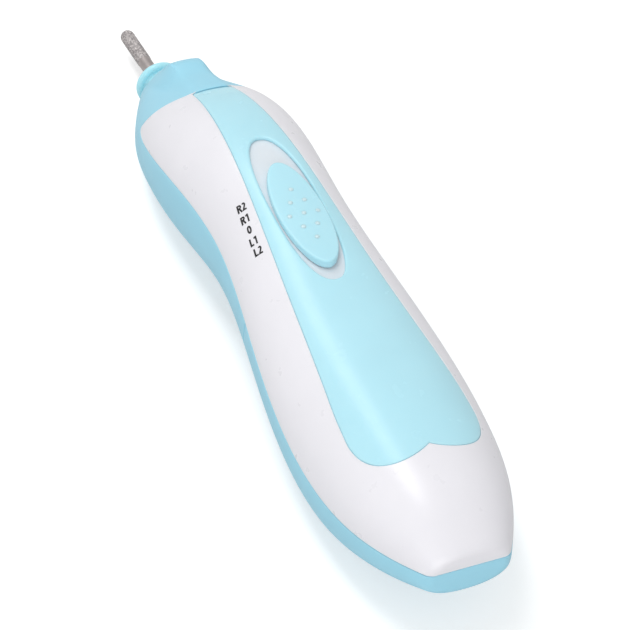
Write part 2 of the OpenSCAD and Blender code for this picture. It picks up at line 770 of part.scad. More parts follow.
contact_w = 6.6;
contact_h = 8;
module contact_plate(x, y) {
    translate([x, y - contact_w / 2, cell_z - contact_h / 2]) cube([plate_t, contact_w, contact_h]);
}
module contact_tail(x, y) {
    translate([x, y - 0.8, cell_z - 0.5]) cube([tray_wall + plate_t + 1.4, 1.6, 1]);
}
module rear_contact() placed() color(steel)
    translate([bay_back - plate_t, -cell_y - contact_w / 2, cell_z - contact_h / 2])
        cube([plate_t, 2 * cell_y + contact_w, contact_h]);
module front_button_contact() placed() color(steel) {
    contact_plate(bay_front, cell_y);
    contact_tail(bay_front, cell_y);
}
module front_spring_contact() placed() color(steel) {
    contact_plate(bay_front, -cell_y);
    contact_tail(bay_front, -cell_y);
}

// Tube along a row of points, with a ring of sides round each
function unit(v) = v / norm(v);
function heading(p, i) = unit(p[min(i + 1, len(p) - 1)] - p[max(i - 1, 0)]);
module tube(p, d, sides, side_hint) {
    rings = [for (i = [0 : len(p) - 1])
        let (t = heading(p, i), n = unit(cross(t, side_hint)), b = cross(t, n))
        for (j = [0 : sides - 1]) let (a = 360 * j / sides) p[i] + d / 2 * (cos(a) * n + sin(a) * b)];
    last = (len(p) - 1) * sides;
    polyhedron(rings, concat(
        [for (j = [1 : sides - 2]) [0, j, j + 1]],
        [for (j = [1 : sides - 2]) [last, last + j + 1, last + j]],
        [for (i = [0 : len(p) - 2]) for (j = [0 : sides - 1])
            let (a = i * sides + j, b = i * sides + (j + 1) % sides)
            each [[a, a + sides, b], [b, a + sides, b + sides]]]));
}

spring_wire = 0.6;
spring_turns = 4;
spring_base_d = 6.4;
spring_tip_d = 4.4;
turn_steps = 14;
spring_inset = spring_wire / 2 + 0.02;
// Cone-shaped spring from its plate towards the battery
function coil(from, to) = [for (i = [0 : spring_turns * turn_steps])
    let (s = i / (spring_turns * turn_steps), a = 360 * i / turn_steps,
        r = (spring_base_d + s * (spring_tip_d - spring_base_d) - spring_wire) / 2)
    [from + s * (to - from), r * cos(a), r * sin(a)]];
module rear_spring() placed() color(steel) translate([0, cell_y, cell_z])
    tube(coil(bay_back + spring_inset, bay_back + spring_l - spring_inset), spring_wire, 6, [1, 0, 0]);
module front_spring() placed() color(steel) translate([0, -cell_y, cell_z])
    tube(coil(bay_front - spring_inset, bay_front - spring_l + spring_inset), spring_wire, 6, [1, 0, 0]);

// ---- Screws and wires ----

module screw() {
    difference() {
        translate([0, 0, -screw_head_h]) cylinder(h = screw_head_h, d = screw_head_d);
        for (a = [0, 90]) rotate([0, 0, a])
            translate([-1.2, -0.3, -screw_head_h - 0.1]) cube([2.4, 0.6, 0.9]);
    }
    translate([0, 0, -eps]) cylinder(h = screw_l, d = screw_d);
}
module housing_screws() placed() color(steel) both_sides() {
    translate([tail_screw[0], tail_screw[1], flange_z]) screw();
    translate([waist_screw[0], waist_screw[1], column_top - screw_seat]) screw();
}

wire_points = 10;
function board_pad(x, y) =
    [switch_x + x * cos(slide_tilt) + (board_top - board_t) * sin(slide_tilt), y,
        floor_z + x * sin(slide_tilt) + (board_top - board_t) * cos(slide_tilt)];
function on_drive(u, y, w) =
    [body_l + u * cos(drive_tilt) + w * sin(drive_tilt), y,
        axis_z - u * sin(drive_tilt) + w * cos(drive_tilt)];
wire_seat = 0.25;
function contact_end(y) = [bay_front + plate_t + tray_wall + 0.8, y, cell_z + 0.5 + wire_seat];
module wire(p) tube([for (i = [0 : wire_points]) bezier(p, i / wire_points)], wire_d, 8, [0.1, 1, 0.05]);

module battery_wire(side) {
    a = contact_end(side * cell_y);
    pad_x = max(1.5 - board_l / 2, a[0] - switch_x + 0.5);
    b = board_pad(pad_x, side * 3.6) - [0, 0, wire_seat];
    wire([a, a + [0.8, 0, 4], b + [0.8, 0, -5], b]);
}
module motor_wire(side) {
    a = board_pad(board_l / 2 - 1.5, side * 3.6) - [0, 0, wire_seat];
    b = on_drive(terminal_back - wire_seat, side * brush_y, 0);
    wire([a, a + [-0.5, 0, -6], b + [-5, side * 1.5, 1.5], b]);
}
module battery_wire_red() placed() color([0.75, 0.10, 0.10]) battery_wire(1);
module battery_wire_black() placed() color(black) battery_wire(-1);
module motor_wire_red() placed() color([0.75, 0.10, 0.10]) motor_wire(1);
module motor_wire_black() placed() color(black) motor_wire(-1);

upper_shell();
lower_shell();
battery_cover();
top_panel();
switch_button();
switch_carriage();
wiper_contact();
switch_board();
board_screws();
detent_rail();
nose_collar();
front_bush();
rear_bush();
dust_seal();
spindle();
thrust_washer();
shaft_coupling();
bit_shank();
bit_head();
motor_can();
motor_magnets();
motor_end_bell();
motor_brushes();
motor_terminals();
motor_shaft();
armature_core();
armature_windings();
commutator();
motor_pad();
battery_tray();
cell_left();
cell_right();
rear_contact();
rear_spring();
front_button_contact();
front_spring_contact();
front_spring();
housing_screws();
battery_wire_red();
battery_wire_black();
motor_wire_red();
motor_wire_black();
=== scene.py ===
# A cordless callus remover, dressed round its construction model.
# Lengths are millimetres from the tail face of the handle, and to_frame() turns
# them into the frame's metres.
import math

import bmesh
import bpy
import numpy as np
from mathutils import Matrix
from mathutils.geometry import delaunay_2d_cdt


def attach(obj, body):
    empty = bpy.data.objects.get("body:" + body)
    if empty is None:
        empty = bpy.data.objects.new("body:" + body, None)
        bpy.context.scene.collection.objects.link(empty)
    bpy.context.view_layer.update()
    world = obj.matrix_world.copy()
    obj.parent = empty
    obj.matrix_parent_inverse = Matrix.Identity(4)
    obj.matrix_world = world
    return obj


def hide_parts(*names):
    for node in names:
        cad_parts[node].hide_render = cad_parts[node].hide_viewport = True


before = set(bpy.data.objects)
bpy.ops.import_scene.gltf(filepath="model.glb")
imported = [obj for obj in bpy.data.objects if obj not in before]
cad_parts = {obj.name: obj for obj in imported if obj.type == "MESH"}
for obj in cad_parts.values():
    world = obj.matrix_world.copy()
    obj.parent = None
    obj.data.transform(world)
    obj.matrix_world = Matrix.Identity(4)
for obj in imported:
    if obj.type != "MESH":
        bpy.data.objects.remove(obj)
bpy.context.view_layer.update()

# ---- Sizes in the construction model ----

BODY_L = 160.0
WALL = 2.0
TAIL_W, TAIL_TOP, TAIL_H = 17.4, 23.2, 10.5
BELLY_W, BELLY_TOP = 38.8, 33.5
WAIST_W, WAIST_TOP, WAIST_LIFT = 30.2, 37.0, 6.0
SHOULDER_W, SHOULDER_TOP = 33.0, 35.8
RIM_D, RIDGE_W = 13.2, 9.0
COVER_L, COVER_GAP = 73.0, 0.3
PANEL_T, PANEL_GAP, PANEL_W, PANEL_FRONT_W, PANEL_CUSP = 0.9, 0.12, 27.0, 8.8, 21.9
SWITCH_X, SWITCH_STEP, BUTTON_L, BUTTON_W, BUTTON_H = 88.2, 2.95, 29.6, 10.0, 2.0
BUTTON_SIDE_GAP, BUTTON_END_GAP = 0.5, 0.4
AXIS_Z, DRIVE_TILT, BIT_D, BIT_OUT, GRIT_L = 8.4, math.radians(6.2), 3.2, 27.4, 12.8
SHANK_D, BEAD_D = 2.35, 11.2
WELL_D, WELL_X, WELL_Y = 5.2, 97.0, 9.5
TAIL_BOTTOM = TAIL_TOP - TAIL_H

# Place, half width, top and bottom of the handle's sections
SECTIONS = np.array([
    [0, TAIL_W / 2, TAIL_TOP, TAIL_BOTTOM],
    [6, TAIL_W / 2 + 3.4, TAIL_TOP + 3.8, TAIL_BOTTOM - 3.7],
    [16, BELLY_W / 2 - 3.1, BELLY_TOP - 3, TAIL_BOTTOM - 8.5],
    [30, BELLY_W / 2 - 0.5, BELLY_TOP - 0.8, -0.4],
    [44, BELLY_W / 2, BELLY_TOP, -0.4],
    [68, (BELLY_W + WAIST_W) / 4 + 0.25, BELLY_TOP + 0.9, WAIST_LIFT - 1.2],
    [94, WAIST_W / 2, WAIST_TOP, WAIST_LIFT],
    [BODY_L - 42, SHOULDER_W / 2, SHOULDER_TOP, 2.4],
    [BODY_L - 26, SHOULDER_W / 2 - 0.7, SHOULDER_TOP - 5.4, 1],
    [BODY_L - 14, SHOULDER_W / 2 - 3.5, AXIS_Z + 15.2, -0.1],
    [BODY_L - 6, RIM_D / 2 + 3, AXIS_Z + 11, 0.3],
    [BODY_L, RIM_D / 2, AXIS_Z + RIM_D / 2, AXIS_Z - RIM_D / 2],
])
WIDEST, SQUARENESS = 0.45, 2.28
GAP_X = BODY_L - 25.1
# Place, half width and top of the raised strip on the nose
RIDGE = np.array([
    [GAP_X, PANEL_FRONT_W / 2, SHOULDER_TOP - 5.5],
    [BODY_L - 20, RIDGE_W / 2 - 0.1, SHOULDER_TOP - 7.3],
    [BODY_L - 14, RIDGE_W / 2 + 0.1, AXIS_Z + 18.3],
    [BODY_L - 9, RIDGE_W / 2 + 0.3, AXIS_Z + 17.2],
    [BODY_L - 5.5, RIDGE_W / 2 + 0.4, AXIS_Z + 13.5],
    [BODY_L - 2.5, RIDGE_W / 2 + 0.2, AXIS_Z + 10.1],
    [BODY_L, RIDGE_W / 2 - 0.5, AXIS_Z + RIM_D / 2],
])
# Place and height of the seam between the white and the blue shells, whose front
# end is drawn a little lower than in the construction model
SEAM = np.array([
    [0, TAIL_TOP - 3.8],
    [30, BELLY_TOP - 17.5],
    [68, BELLY_TOP - 12.7],
    [98, WAIST_TOP - 12.6],
    [BODY_L - 39, SHOULDER_TOP - 13.7],
    [BODY_L - 24, SHOULDER_TOP - 17.9],
])
WHITE_TIP = np.array([BODY_L - 17.6, SHOULDER_TOP - 20.2])
TIP_X = BODY_L + (BIT_OUT - BIT_D / 2) * math.cos(DRIVE_TILT) + BIT_D / 2
ORIGIN_X = TIP_X / 2
# Radius of the tail face's edge, the way where the flat face starts, and its middle
TAIL_R = 1.1
FLAT_Q = TAIL_R - TAIL_R * math.pi / 2
FACE_Z = 18.0
# The nose's flat face along the spindle, its bore's radius, and the bore's inner end
RIM_FACE, BORE_R, INNER_END = -0.8, 5.05, 143.0
# The recess of the switch: its tilt, the arc and depth of its floor, and the panel's
# wall round it
SLIDE_TILT = math.radians(3.6)
FLOOR_ARC, FLOOR_DEPTH, SKIRT_T = 550.0, 1.34, 0.45
RECESS_L = BUTTON_L + 4 * SWITCH_STEP + 2 * BUTTON_END_GAP
RECESS_W = BUTTON_W + 2 * BUTTON_SIDE_GAP

# ---- Sizes of the drawn surface alone ----

# Radii of the rounded edges: white at the seam, blue, panel, recess and nose face
SEAM_R, BLUE_R, PANEL_R, LIP_R, RIM_R = 0.13, 0.28, 0.14, 0.5, 0.35
SEAM_GAP, NOSE_GAP = 0.12, 0.13
DOT_PITCH, DOT_SIDE = 3.53, 1.55
STEM_L, STEM_W = 2.6, 3.0  # The button hides its stem's slot at both ends of the travel
NEAR_AXIS = 0.001
STEP = 0.8  # Between the points of a surface
TOP, UNDER = math.pi / 2, -math.pi / 2


def to_frame(p):
    return (np.asarray(p, float) - [ORIGIN_X, 0, 0]) / 1000


def smooth_curve(table, column):
    """Natural cubic spline through a table's column, as a function of the place."""
    x, y = table[:, 0], table[:, column]
    h, chord = np.diff(x), np.diff(y) / np.diff(x)
    a, b = np.eye(len(x)), np.zeros(len(x))
    a[0, 1] = a[-1, -2] = 0.5
    b[0], b[-1] = 1.5 * chord[0], 1.5 * chord[-1]
    for i in range(1, len(x) - 1):
        a[i, i - 1:i + 2] = h[i], 2 * (h[i - 1] + h[i]), h[i - 1]
        b[i] = 3 * (h[i] * chord[i - 1] + h[i - 1] * chord[i])
    slope = np.linalg.solve(a, b)

    def value(at):
        at = np.clip(np.asarray(at, float), x[0], x[-1])
        i = np.clip(np.searchsorted(x, at, side="right") - 1, 0, len(x) - 2)
        s = (at - x[i]) / h[i]
        return ((2 * s**3 - 3 * s**2 + 1) * y[i] + (s**3 - 2 * s**2 + s) * h[i] * slope[i]
                + (3 * s**2 - 2 * s**3) * y[i + 1] + (s**3 - s**2) * h[i] * slope[i + 1])
    return value


half_width, top_z, bottom_z = [smooth_curve(SECTIONS, k) for k in (1, 2, 3)]
ridge_half, ridge_top = [smooth_curve(RIDGE, k) for k in (1, 2)]
seam_z = smooth_curve(SEAM, 1)
FLOOR_Z = float(top_z(SWITCH_X)) - FLOOR_DEPTH


def power(v, p):
    return np.sign(v) * np.abs(v) ** p


def smoothstep(low, high, v):
    t = np.clip((v - low) / (high - low), 0, 1)
    return t * t * (3 - 2 * t)


def bezier(p, s):
    p, s = np.asarray(p, float), np.asarray(s, float)[:, None]
    r = 1 - s
    return r**3 * p[0] + 3 * r**2 * s * p[1] + 3 * r * s**2 * p[2] + s**3 * p[3]


# ---- The handle's surface ----
# q is the way along it: the place, and past the tail edge the way over that
# edge and across the flat tail face. turn is the angle round it, 0 at +Y and a
# quarter turn at the top. centre_z is the height that the tail face runs to.

def tail_way(q):
    bend = np.clip((TAIL_R - q) / TAIL_R, 0, math.pi / 2)
    x = np.where(q < TAIL_R, TAIL_R * (1 - np.sin(bend)), q)
    drawn_in = TAIL_R * (1 - np.cos(bend)) + np.maximum(0, TAIL_R - q - TAIL_R * math.pi / 2)
    return x, drawn_in


def handle(q, turn, inset=0.0, centre_z=FACE_Z):
    q, turn = np.broadcast_arrays(np.asarray(q, float), np.asarray(turn, float))
    x, drawn_in = tail_way(q)
    x = np.maximum(x, inset)
    w, hi, lo = half_width(x) - inset, top_z(x) - inset, bottom_z(x) + inset
    mid = lo + WIDEST * (hi - lo)
    c, s = power(np.cos(turn), 2 / SQUARENESS), power(np.sin(turn), 2 / SQUARENESS)
    y, z = w * c, mid + np.where(s > 0, hi - mid, mid - lo) * s
    if inset == 0:
        rise = np.where(x > GAP_X + 0.05, np.maximum(ridge_top(x) - hi, 0), 0)
        fall = 1 - smoothstep(0.64, 1.42, np.abs(y) / ridge_half(x))
        z = z + np.where(s > 0, rise * fall, 0)
    k = 1 - drawn_in / half_width(x)
    z = centre_z + (z - centre_z) * k
    if inset == 0:
        # The underside is flat where it would pass below the ground
        blend = 0.02
        z = (z + np.sqrt(z * z + blend)) / 2
    return np.stack([x, y * k, z], -1)


def on_skin(loop, inset=0.0, centre_z=FACE_Z):
    return handle(loop[:, 0], loop[:, 1], inset, centre_z)


def at_place(x, turns):
    """A line round the handle at one place."""
    return np.stack([np.full(len(turns), x), turns], -1)


def turn_at_height(x, z, inset=0.0):
    """Angle of the point of the +Y flank at that height."""
    hi, lo = top_z(x) - inset, bottom_z(x) + inset
    mid = lo + WIDEST * (hi - lo)
    share = (z - mid) / np.where(z > mid, hi - mid, mid - lo)
    return np.arcsin(power(np.clip(share, -1, 1), SQUARENESS / 2))


def turn_at_side(x, y, inset=0.0):
    """Angle of the point of the top at that distance from the middle."""
    share = np.clip(y / (half_width(x) - inset), -1, 1)
    return np.arccos(power(share, SQUARENESS / 2))


def tail_place(y, z, centre_z):
    """Way and angle of a point of the flat tail face."""
    angles = np.linspace(UNDER, TOP, 721)
    ring = handle(FLAT_Q, angles, 0, centre_z)
    k_edge = 1 - TAIL_R / half_width(0)
    full = np.stack([ring[:, 1] / k_edge, centre_z + (ring[:, 2] - centre_z) / k_edge], -1)
    bearing = np.arctan2(full[:, 1] - centre_z, full[:, 0])
    order = np.argsort(bearing)
    wanted = np.arctan2(z - centre_z, np.abs(y))
    turn = np.interp(wanted, bearing[order], angles[order])
    reach = np.interp(wanted, bearing[order], np.hypot(full[:, 0], full[:, 1] - centre_z)[order])
    k = np.hypot(y, z - centre_z) / reach
    q = FLAT_Q - ((1 - k) * half_width(0) - TAIL_R)
    return q, np.where(y < 0, math.pi - turn, turn)


# ---- Meshes ----

def new_object(name, data):
    item = bpy.data.objects.new(name, data)
    bpy.context.collection.objects.link(item)
    return item


class Mesh:
    """Faces gathered in millimetres and welded into one closed mesh."""

    def __init__(self):
        self.points, self.faces, self.slots, self.count = [], [], [], 0

    def add(self, points, faces, slot=0):
        points = np.asarray(points, float).reshape(-1, 3)
        self.points.append(points)
        self.faces += [tuple(int(i) + self.count for i in f) for f in faces]
        self.slots += [slot] * len(faces)
        self.count += len(points)

    def strip(self, rows, closed=False, slot=0):
        """Quads between neighbouring rows of points."""
        rows = [np.asarray(r, float) for r in rows]
        n = len(rows[0])
        last = n if closed else n - 1
        faces = []
        for r in range(len(rows) - 1):
            a, b = r * n, (r + 1) * n
            faces += [(a + i, a + (i + 1) % n, b + (i + 1) % n, b + i) for i in range(last)]
        self.add(np.concatenate(rows), faces, slot)

    def fan(self, row, centre, slot=0):
        n = len(row)
        self.add(np.concatenate([row, [centre]]), [(i, (i + 1) % n, n) for i in range(n)], slot)

    def capped(self, rows, first, last, slot=0):
        """A closed form: rings of points, and the middles of its first and last end."""
        self.strip(rows, closed=True, slot=slot)
        self.fan(rows[0], first, slot)
        self.fan(rows[-1], last, slot)

    def build(self, name, materials, crease=math.radians(40)):
        mesh = bpy.data.meshes.new(name)
        mesh.from_pydata(to_frame(np.concatenate(self.points)).tolist(), [], self.faces)
        for material in materials:
            mesh.materials.append(material)
        mesh.polygons.foreach_set("material_index", self.slots)
        bm = bmesh.new()
        bm.from_mesh(mesh)
        bmesh.ops.remove_doubles(bm, verts=bm.verts, dist=2e-6)
        bmesh.ops.dissolve_degenerate(bm, edges=bm.edges, dist=1e-7)
        # A flat sliver on a border has an open edge, and an edge that three faces share
        slivers = [f for f in bm.faces if any(e.is_boundary for e in f.edges)
                   and any(len(e.link_faces) > 2 for e in f.edges)]
        bmesh.ops.delete(bm, geom=slivers, context="FACES")
        open_edges = [e for e in bm.edges if e.is_boundary]
        bmesh.ops.holes_fill(bm, edges=open_edges, sides=8)
        bmesh.ops.recalc_face_normals(bm, faces=bm.faces)
        for face in bm.faces:
            face.smooth = True
        for edge in bm.edges:
            edge.smooth = not (edge.is_manifold and edge.calc_face_angle(0) > crease)
        bm.to_mesh(mesh)
        bm.free()
        piece = new_object(name, mesh)
        normals = piece.modifiers.new("Even shading", "WEIGHTED_NORMAL")
        normals.mode = "FACE_AREA"
        normals.keep_sharp = True
        return piece


def inside(points, loop):
    """Which points lie in a closed loop of plane points."""
    x, y = points[:, 0], points[:, 1]
    within = np.zeros(len(points), bool)
    for (x1, y1), (x2, y2) in zip(loop, np.roll(loop, -1, 0)):
        if y1 != y2:
            crosses = ((y1 > y) != (y2 > y)) & (x < (x2 - x1) * (y - y1) / (y2 - y1) + x1)
            within ^= crosses
    return within


def far_from(points, others, gap):
    """Which points lie more than a gap from all the others."""
    keep, share = np.ones(len(points), bool), 4000
    for start in range(0, len(points), share):
        part = points[start:start + share]
        near = ((part[:, None] - others[None]) ** 2).sum(-1).min(1)
        keep[start:start + share] = near > gap * gap
    return keep


def fill(loops, step, spread):
    """Triangles in a plane region: the first loop is its outside, and the rest
    are holes. spread gives points inside it. Returns the points, which start
    with the loops' own, and the triangles."""
    border = np.concatenate(loops)
    grid = spread(step)
    keep = inside(grid, loops[0])
    for hole in loops[1:]:
        keep &= ~inside(grid, hole)
    grid = grid[keep]
    grid = grid[far_from(grid, border, 0.62 * step)]
    points = np.concatenate([border, grid])
    edges, start = [], 0
    for loop in loops:
        n = len(loop)
        edges += [(start + i, start + (i + 1) % n) for i in range(n)]
        start += n
    out, _, faces, origin, _, _ = delaunay_2d_cdt(points.tolist(), edges, [], 0, 1e-9, True)
    out = np.array([tuple(v) for v in out])
    faces = np.array([tuple(f) for f in faces])
    middle = out[faces].mean(1)
    keep = inside(middle, loops[0])
    for hole in loops[1:]:
        keep &= ~inside(middle, hole)
    source = np.array([o[0] if o else -1 for o in origin])
    return out, faces[keep], source


class Skin:
    """A region of the handle's surface, spread on a plane about one angle."""

    def __init__(self, about, centre_z=FACE_Z):
        self.about, self.centre_z = about, centre_z

    def girth(self, q):
        """Length of the plane for one radian of turn."""
        x, drawn_in = tail_way(q)
        return 1.12 * (half_width(x) - np.minimum(drawn_in, half_width(x)))

    def plane(self, q, turn):
        return np.stack([q, (turn - self.about) * self.girth(q)], -1)

    def spread_between(self, low, high):
        def spread(step):
            rows = []
            for i, q in enumerate(np.arange(low, high, step)):
                n = int(self.girth(np.array(q)) * math.pi / step)
                if n > 0:
                    g = (np.arange(-n, n + 1) + 0.5 * (i % 2)) * step
                    rows.append(np.stack([np.full(len(g), q), g], -1))
            return np.concatenate(rows)
        return spread

    def patch(self, loops, step, inset=0.0):
        """Points and triangles of the region inside loops of (q, turn)."""
        flat = [self.plane(loop[:, 0], loop[:, 1]) for loop in loops]
        known = np.concatenate(loops)
        low, high = known[:, 0].min(), known[:, 0].max()
        out, faces, source = fill(flat, step, self.spread_between(low + step / 2, high))
        q = out[:, 0]
        turn = self.about + out[:, 1] / np.maximum(self.girth(q), 1e-6)
        from_loops = (source >= 0) & (source < len(known))
        exact = known[np.maximum(source, 0) % len(known)]
        q = np.where(from_loops, exact[:, 0], q)
        turn = np.where(from_loops, exact[:, 1], turn)
        return handle(q, turn, inset, self.centre_z), faces

    def normal(self, q, turn):
        d = 1e-4
        q_safe = np.maximum(q, FLAT_Q - half_width(0) + TAIL_R + 0.3)
        a = handle(q_safe + d, turn, 0, self.centre_z) - handle(q_safe - d, turn, 0, self.centre_z)
        b = handle(q_safe, turn + d, 0, self.centre_z) - handle(q_safe, turn - d, 0, self.centre_z)
        n = np.cross(b, a)
        return n / np.linalg.norm(n, axis=-1, keepdims=True)

    def drawn_in(self, loop, radius):
        """A border's loop moved into the region by a radius: the new loop, the
        directions into the region and the normals."""
        q, turn = loop[:, 0], loop[:, 1]
        p, n = handle(q, turn, 0, self.centre_z), self.normal(q, turn)
        before, after = p - np.roll(p, 1, 0), np.roll(p, -1, 0) - p
        before /= np.maximum(np.linalg.norm(before, axis=1, keepdims=True), 1e-12)
        after /= np.maximum(np.linalg.norm(after, axis=1, keepdims=True), 1e-12)
        a, b = np.cross(n, before), np.cross(n, after)
        a /= np.linalg.norm(a, axis=1, keepdims=True)
        b /= np.linalg.norm(b, axis=1, keepdims=True)
        into = (a + b) / np.maximum(1 + (a * b).sum(1, keepdims=True), 0.5)
        d = 1e-4
        along = (handle(q + d, turn, 0, self.centre_z) - p) / d
        across = (handle(q, turn + d, 0, self.centre_z) - p) / d
        jacobian = np.stack([along, across], -1)
        step = np.einsum("nij,nj->ni", np.linalg.pinv(jacobian, rcond=1e-3), into)
        moved = loop + radius * step
        flat = self.plane(loop[:, 0], loop[:, 1])
        tried = self.plane(*(loop + 0.02 * step).T)
        if inside(tried, flat).mean() < 0.5:
            into, moved = -into, loop - radius * step
        return moved, into, n


def round_edge(mesh, start, into, n, radius, steps=4):
    """Rolls the surface over an edge. Returns the row where the wall starts."""
    rows = [start]
    for i in range(1, steps + 1):
        a = math.pi / 2 * i / steps
        rows.append(start - radius * math.sin(a) * into - radius * (1 - math.cos(a)) * n)
    mesh.strip(rows, closed=True)
    return rows[-1]


def seam_edge(skin, loop, radius, way):
    """drawn_in() for a border that crosses the tail face. The seam is a level line
    there, so it moves straight up (way 1) or down (-1). Adds the moved points."""
    moved, into, normal = skin.drawn_in(loop, radius)
    on_face = loop[:, 0] < FLAT_Q - 0.05
    face_point = on_skin(loop[on_face], 0, skin.centre_z)
    q, turn = tail_place(face_point[:, 1], face_point[:, 2] + way * radius, skin.centre_z)
    if way < 0:
        turn = np.where(turn > TOP, turn - 2 * math.pi, turn)
    moved[on_face] = np.stack([q, turn], -1)
    into[on_face], normal[on_face] = [0, 0, way], [-1, 0, 0]
    start = on_skin(moved, 0, skin.centre_z)
    start[on_face] = face_point + [0, 0, way * radius]
    return moved, into, normal, start


def signed(loop, into, moved, way):
    """Makes a ring's move run along X: 1 towards the nose, -1 towards the tail."""
    if (moved[:, 0] - loop[:, 0]).mean() * way < 0:
        return -into, 2 * loop - moved
    return into, moved


def cut_open(border, split, ring, step):
    """One loop round a border and a ring inside it, joined by a cut along the top
    that leaves the border at its point split."""
    start, end = border[split].copy(), border[split].copy()
    start[1], end[1] = TOP, TOP - 2 * math.pi
    cut = spaced(start[0], ring[0, 0], step)[1:-1]
    out = np.stack([cut, np.full(len(cut), TOP)], -1)
    back = out[::-1] - [0, 2 * math.pi]
    return np.concatenate([border[:split], [start], out, ring, [ring[0] - [0, 2 * math.pi]],
                           back, [end], border[split + 1:]])


# ---- Lines that part the pieces ----

def spaced(start, end, step):
    return np.linspace(start, end, max(2, int(abs(end - start) / step) + 1))


def mirrored(loop):
    """The same line on the -Y side, run the other way."""
    other = loop[::-1].copy()
    other[:, 1] = math.pi - other[:, 1]
    return other


def seam_way(end_x, drop=0.0):
    """The seam from the middle of the tail face along the +Y flank."""
    level = seam_z(0) - drop
    edge = turn_at_height(0.0, level)
    deepest = FLAT_Q - half_width(0) + TAIL_R
    face = [(q, edge) for q in spaced(deepest, FLAT_Q, 0.45)]
    bend = []
    for q in spaced(FLAT_Q, TAIL_R, 0.22)[1:]:
        x = tail_way(np.array(q))[0]
        bend.append((q, turn_at_height(x, seam_z(x) - drop)))
    run = [(x, turn_at_height(x, seam_z(x) - drop)) for x in spaced(TAIL_R, end_x, 0.6)[1:]]
    return np.array([(float(q), float(t)) for q, t in face + bend + run]), level


def white_front():
    """The white shell's border from the seam's end round its tip to the gap."""
    end = SEAM[-1]
    curl = bezier([end, end + [2.8, -0.7], WHITE_TIP + [-0.2, 0.6], WHITE_TIP + [-1.8, 3.2]],
                  np.linspace(0, 1, 21)[1:])
    corner_y = PANEL_FRONT_W / 2 + PANEL_GAP
    corner_x = GAP_X + NOSE_GAP + 0.2
    corner = handle(corner_x, turn_at_side(corner_x, corner_y))
    share = np.linspace(0, 1, 25)[1:, None]
    line = curl[-1] + share * (corner[[0, 2]] - curl[-1]) + np.sin(math.pi * share) * [0.3, 0]
    route = np.concatenate([curl, line])
    return np.stack([route[:, 0], turn_at_height(route[:, 0], route[:, 1])], -1)


def panel_side(grow):
    """Half of the panel's outline seen from above, from its cusp to the gap."""
    side_x, taper_x = 29.0, 42.0
    lobe = bezier([[PANEL_CUSP - grow, 0], [PANEL_CUSP - 2.3 - grow, 3.5],
                   [PANEL_CUSP - 4.4 - grow, PANEL_W / 2 - 0.7 + grow],
                   [side_x, PANEL_W / 2 + grow]], np.linspace(0, 1, 37))
    knots = np.array([
        [side_x, PANEL_W / 2], [(side_x + taper_x) / 2, PANEL_W / 2 - 0.25],
        [taper_x, PANEL_W / 2 - 0.85],
        [(taper_x + GAP_X) / 2, (PANEL_W + PANEL_FRONT_W) / 4 - 0.75],
        [GAP_X, PANEL_FRONT_W / 2]])
    side = smooth_curve(knots, 1)
    x = np.linspace(side_x, GAP_X - PANEL_GAP + grow, 152)[1:]
    return np.concatenate([lobe, np.stack([x, side(x) + grow], -1)])


def in_switch(local):
    """From the switch's own frame, on the recess floor, to the handle's."""
    local = np.asarray(local, float)
    c, s = math.cos(SLIDE_TILT), math.sin(SLIDE_TILT)
    return np.stack([SWITCH_X + local[..., 0] * c - local[..., 2] * s, local[..., 1],
                     FLOOR_Z + local[..., 0] * s + local[..., 2] * c], -1)


def oval(length, width, sides=140, squareness=2.0):
    a = 2 * math.pi * (np.arange(sides) + 0.5) / sides
    return np.stack([length / 2 * power(np.cos(a), 2 / squareness),
                     width / 2 * power(np.sin(a), 2 / squareness)], -1)


def recess(grow):
    return oval(RECESS_L + 2 * grow, RECESS_W + 2 * grow, 160, 2.3)


def up_to_skin(local, inset=0.0):
    """Way and angle where a line of the switch's frame meets the handle's top."""
    x, y = in_switch(np.column_stack([local, np.zeros(len(local))]))[:, :2].T
    x0 = x.copy()
    for _ in range(3):
        z = handle(x, turn_at_side(x, y, inset), inset)[:, 2]
        height = (z - FLOOR_Z - (x0 - SWITCH_X) * math.tan(SLIDE_TILT)) * math.cos(SLIDE_TILT)
        x = x0 - height * math.sin(SLIDE_TILT)
    return np.stack([x, turn_at_side(x, y, inset)], -1)


def floor_drop(local):
    """The recess floor is curved like an arc along the slide."""
    return np.sqrt(FLOOR_ARC**2 - local[:, 0]**2) - FLOOR_ARC


def floor_at(local):
    return in_switch(np.column_stack([local, floor_drop(local)]))


def from_above(outline, inset=0.0):
    return np.stack([outline[:, 0], turn_at_side(outline[:, 0], outline[:, 1], inset)], -1)


# ---- Materials ----

def nodes_of(name):
    material = bpy.data.materials.new(name)
    material.use_nodes = True
    tree = material.node_tree
    return material, tree, tree.nodes["Principled BSDF"]


def link(tree, a, b):
    tree.links.new(a, b)


def noise(tree, scale, detail):
    place = tree.nodes.new("ShaderNodeTexCoord")
    node = tree.nodes.new("ShaderNodeTexNoise")
    node.inputs["Scale"].default_value = scale
    node.inputs["Detail"].default_value = detail
    link(tree, place.outputs["Object"], node.inputs["Vector"])
    return node.outputs["Fac"]


def spread_over(tree, fac, low, high):
    """Stretches a noise, which is mostly from a quarter to three, over a range."""
    node = tree.nodes.new("ShaderNodeMapRange")
    node.inputs["To Min"].default_value = low
    node.inputs["To Max"].default_value = high
    node.inputs["From Min"].default_value = 0.25
    node.inputs["From Max"].default_value = 0.75
    link(tree, fac, node.inputs["Value"])
    return node.outputs["Result"]


def tint(tree, fac, dark, light, ends=(0.3, 0.7)):
    ramp = tree.nodes.new("ShaderNodeValToRGB")
    for stop, colour, place in zip(ramp.color_ramp.elements, (dark, light), ends):
        stop.color, stop.position = (*colour, 1), place
    link(tree, fac, ramp.inputs["Fac"])
    return ramp.outputs["Color"]


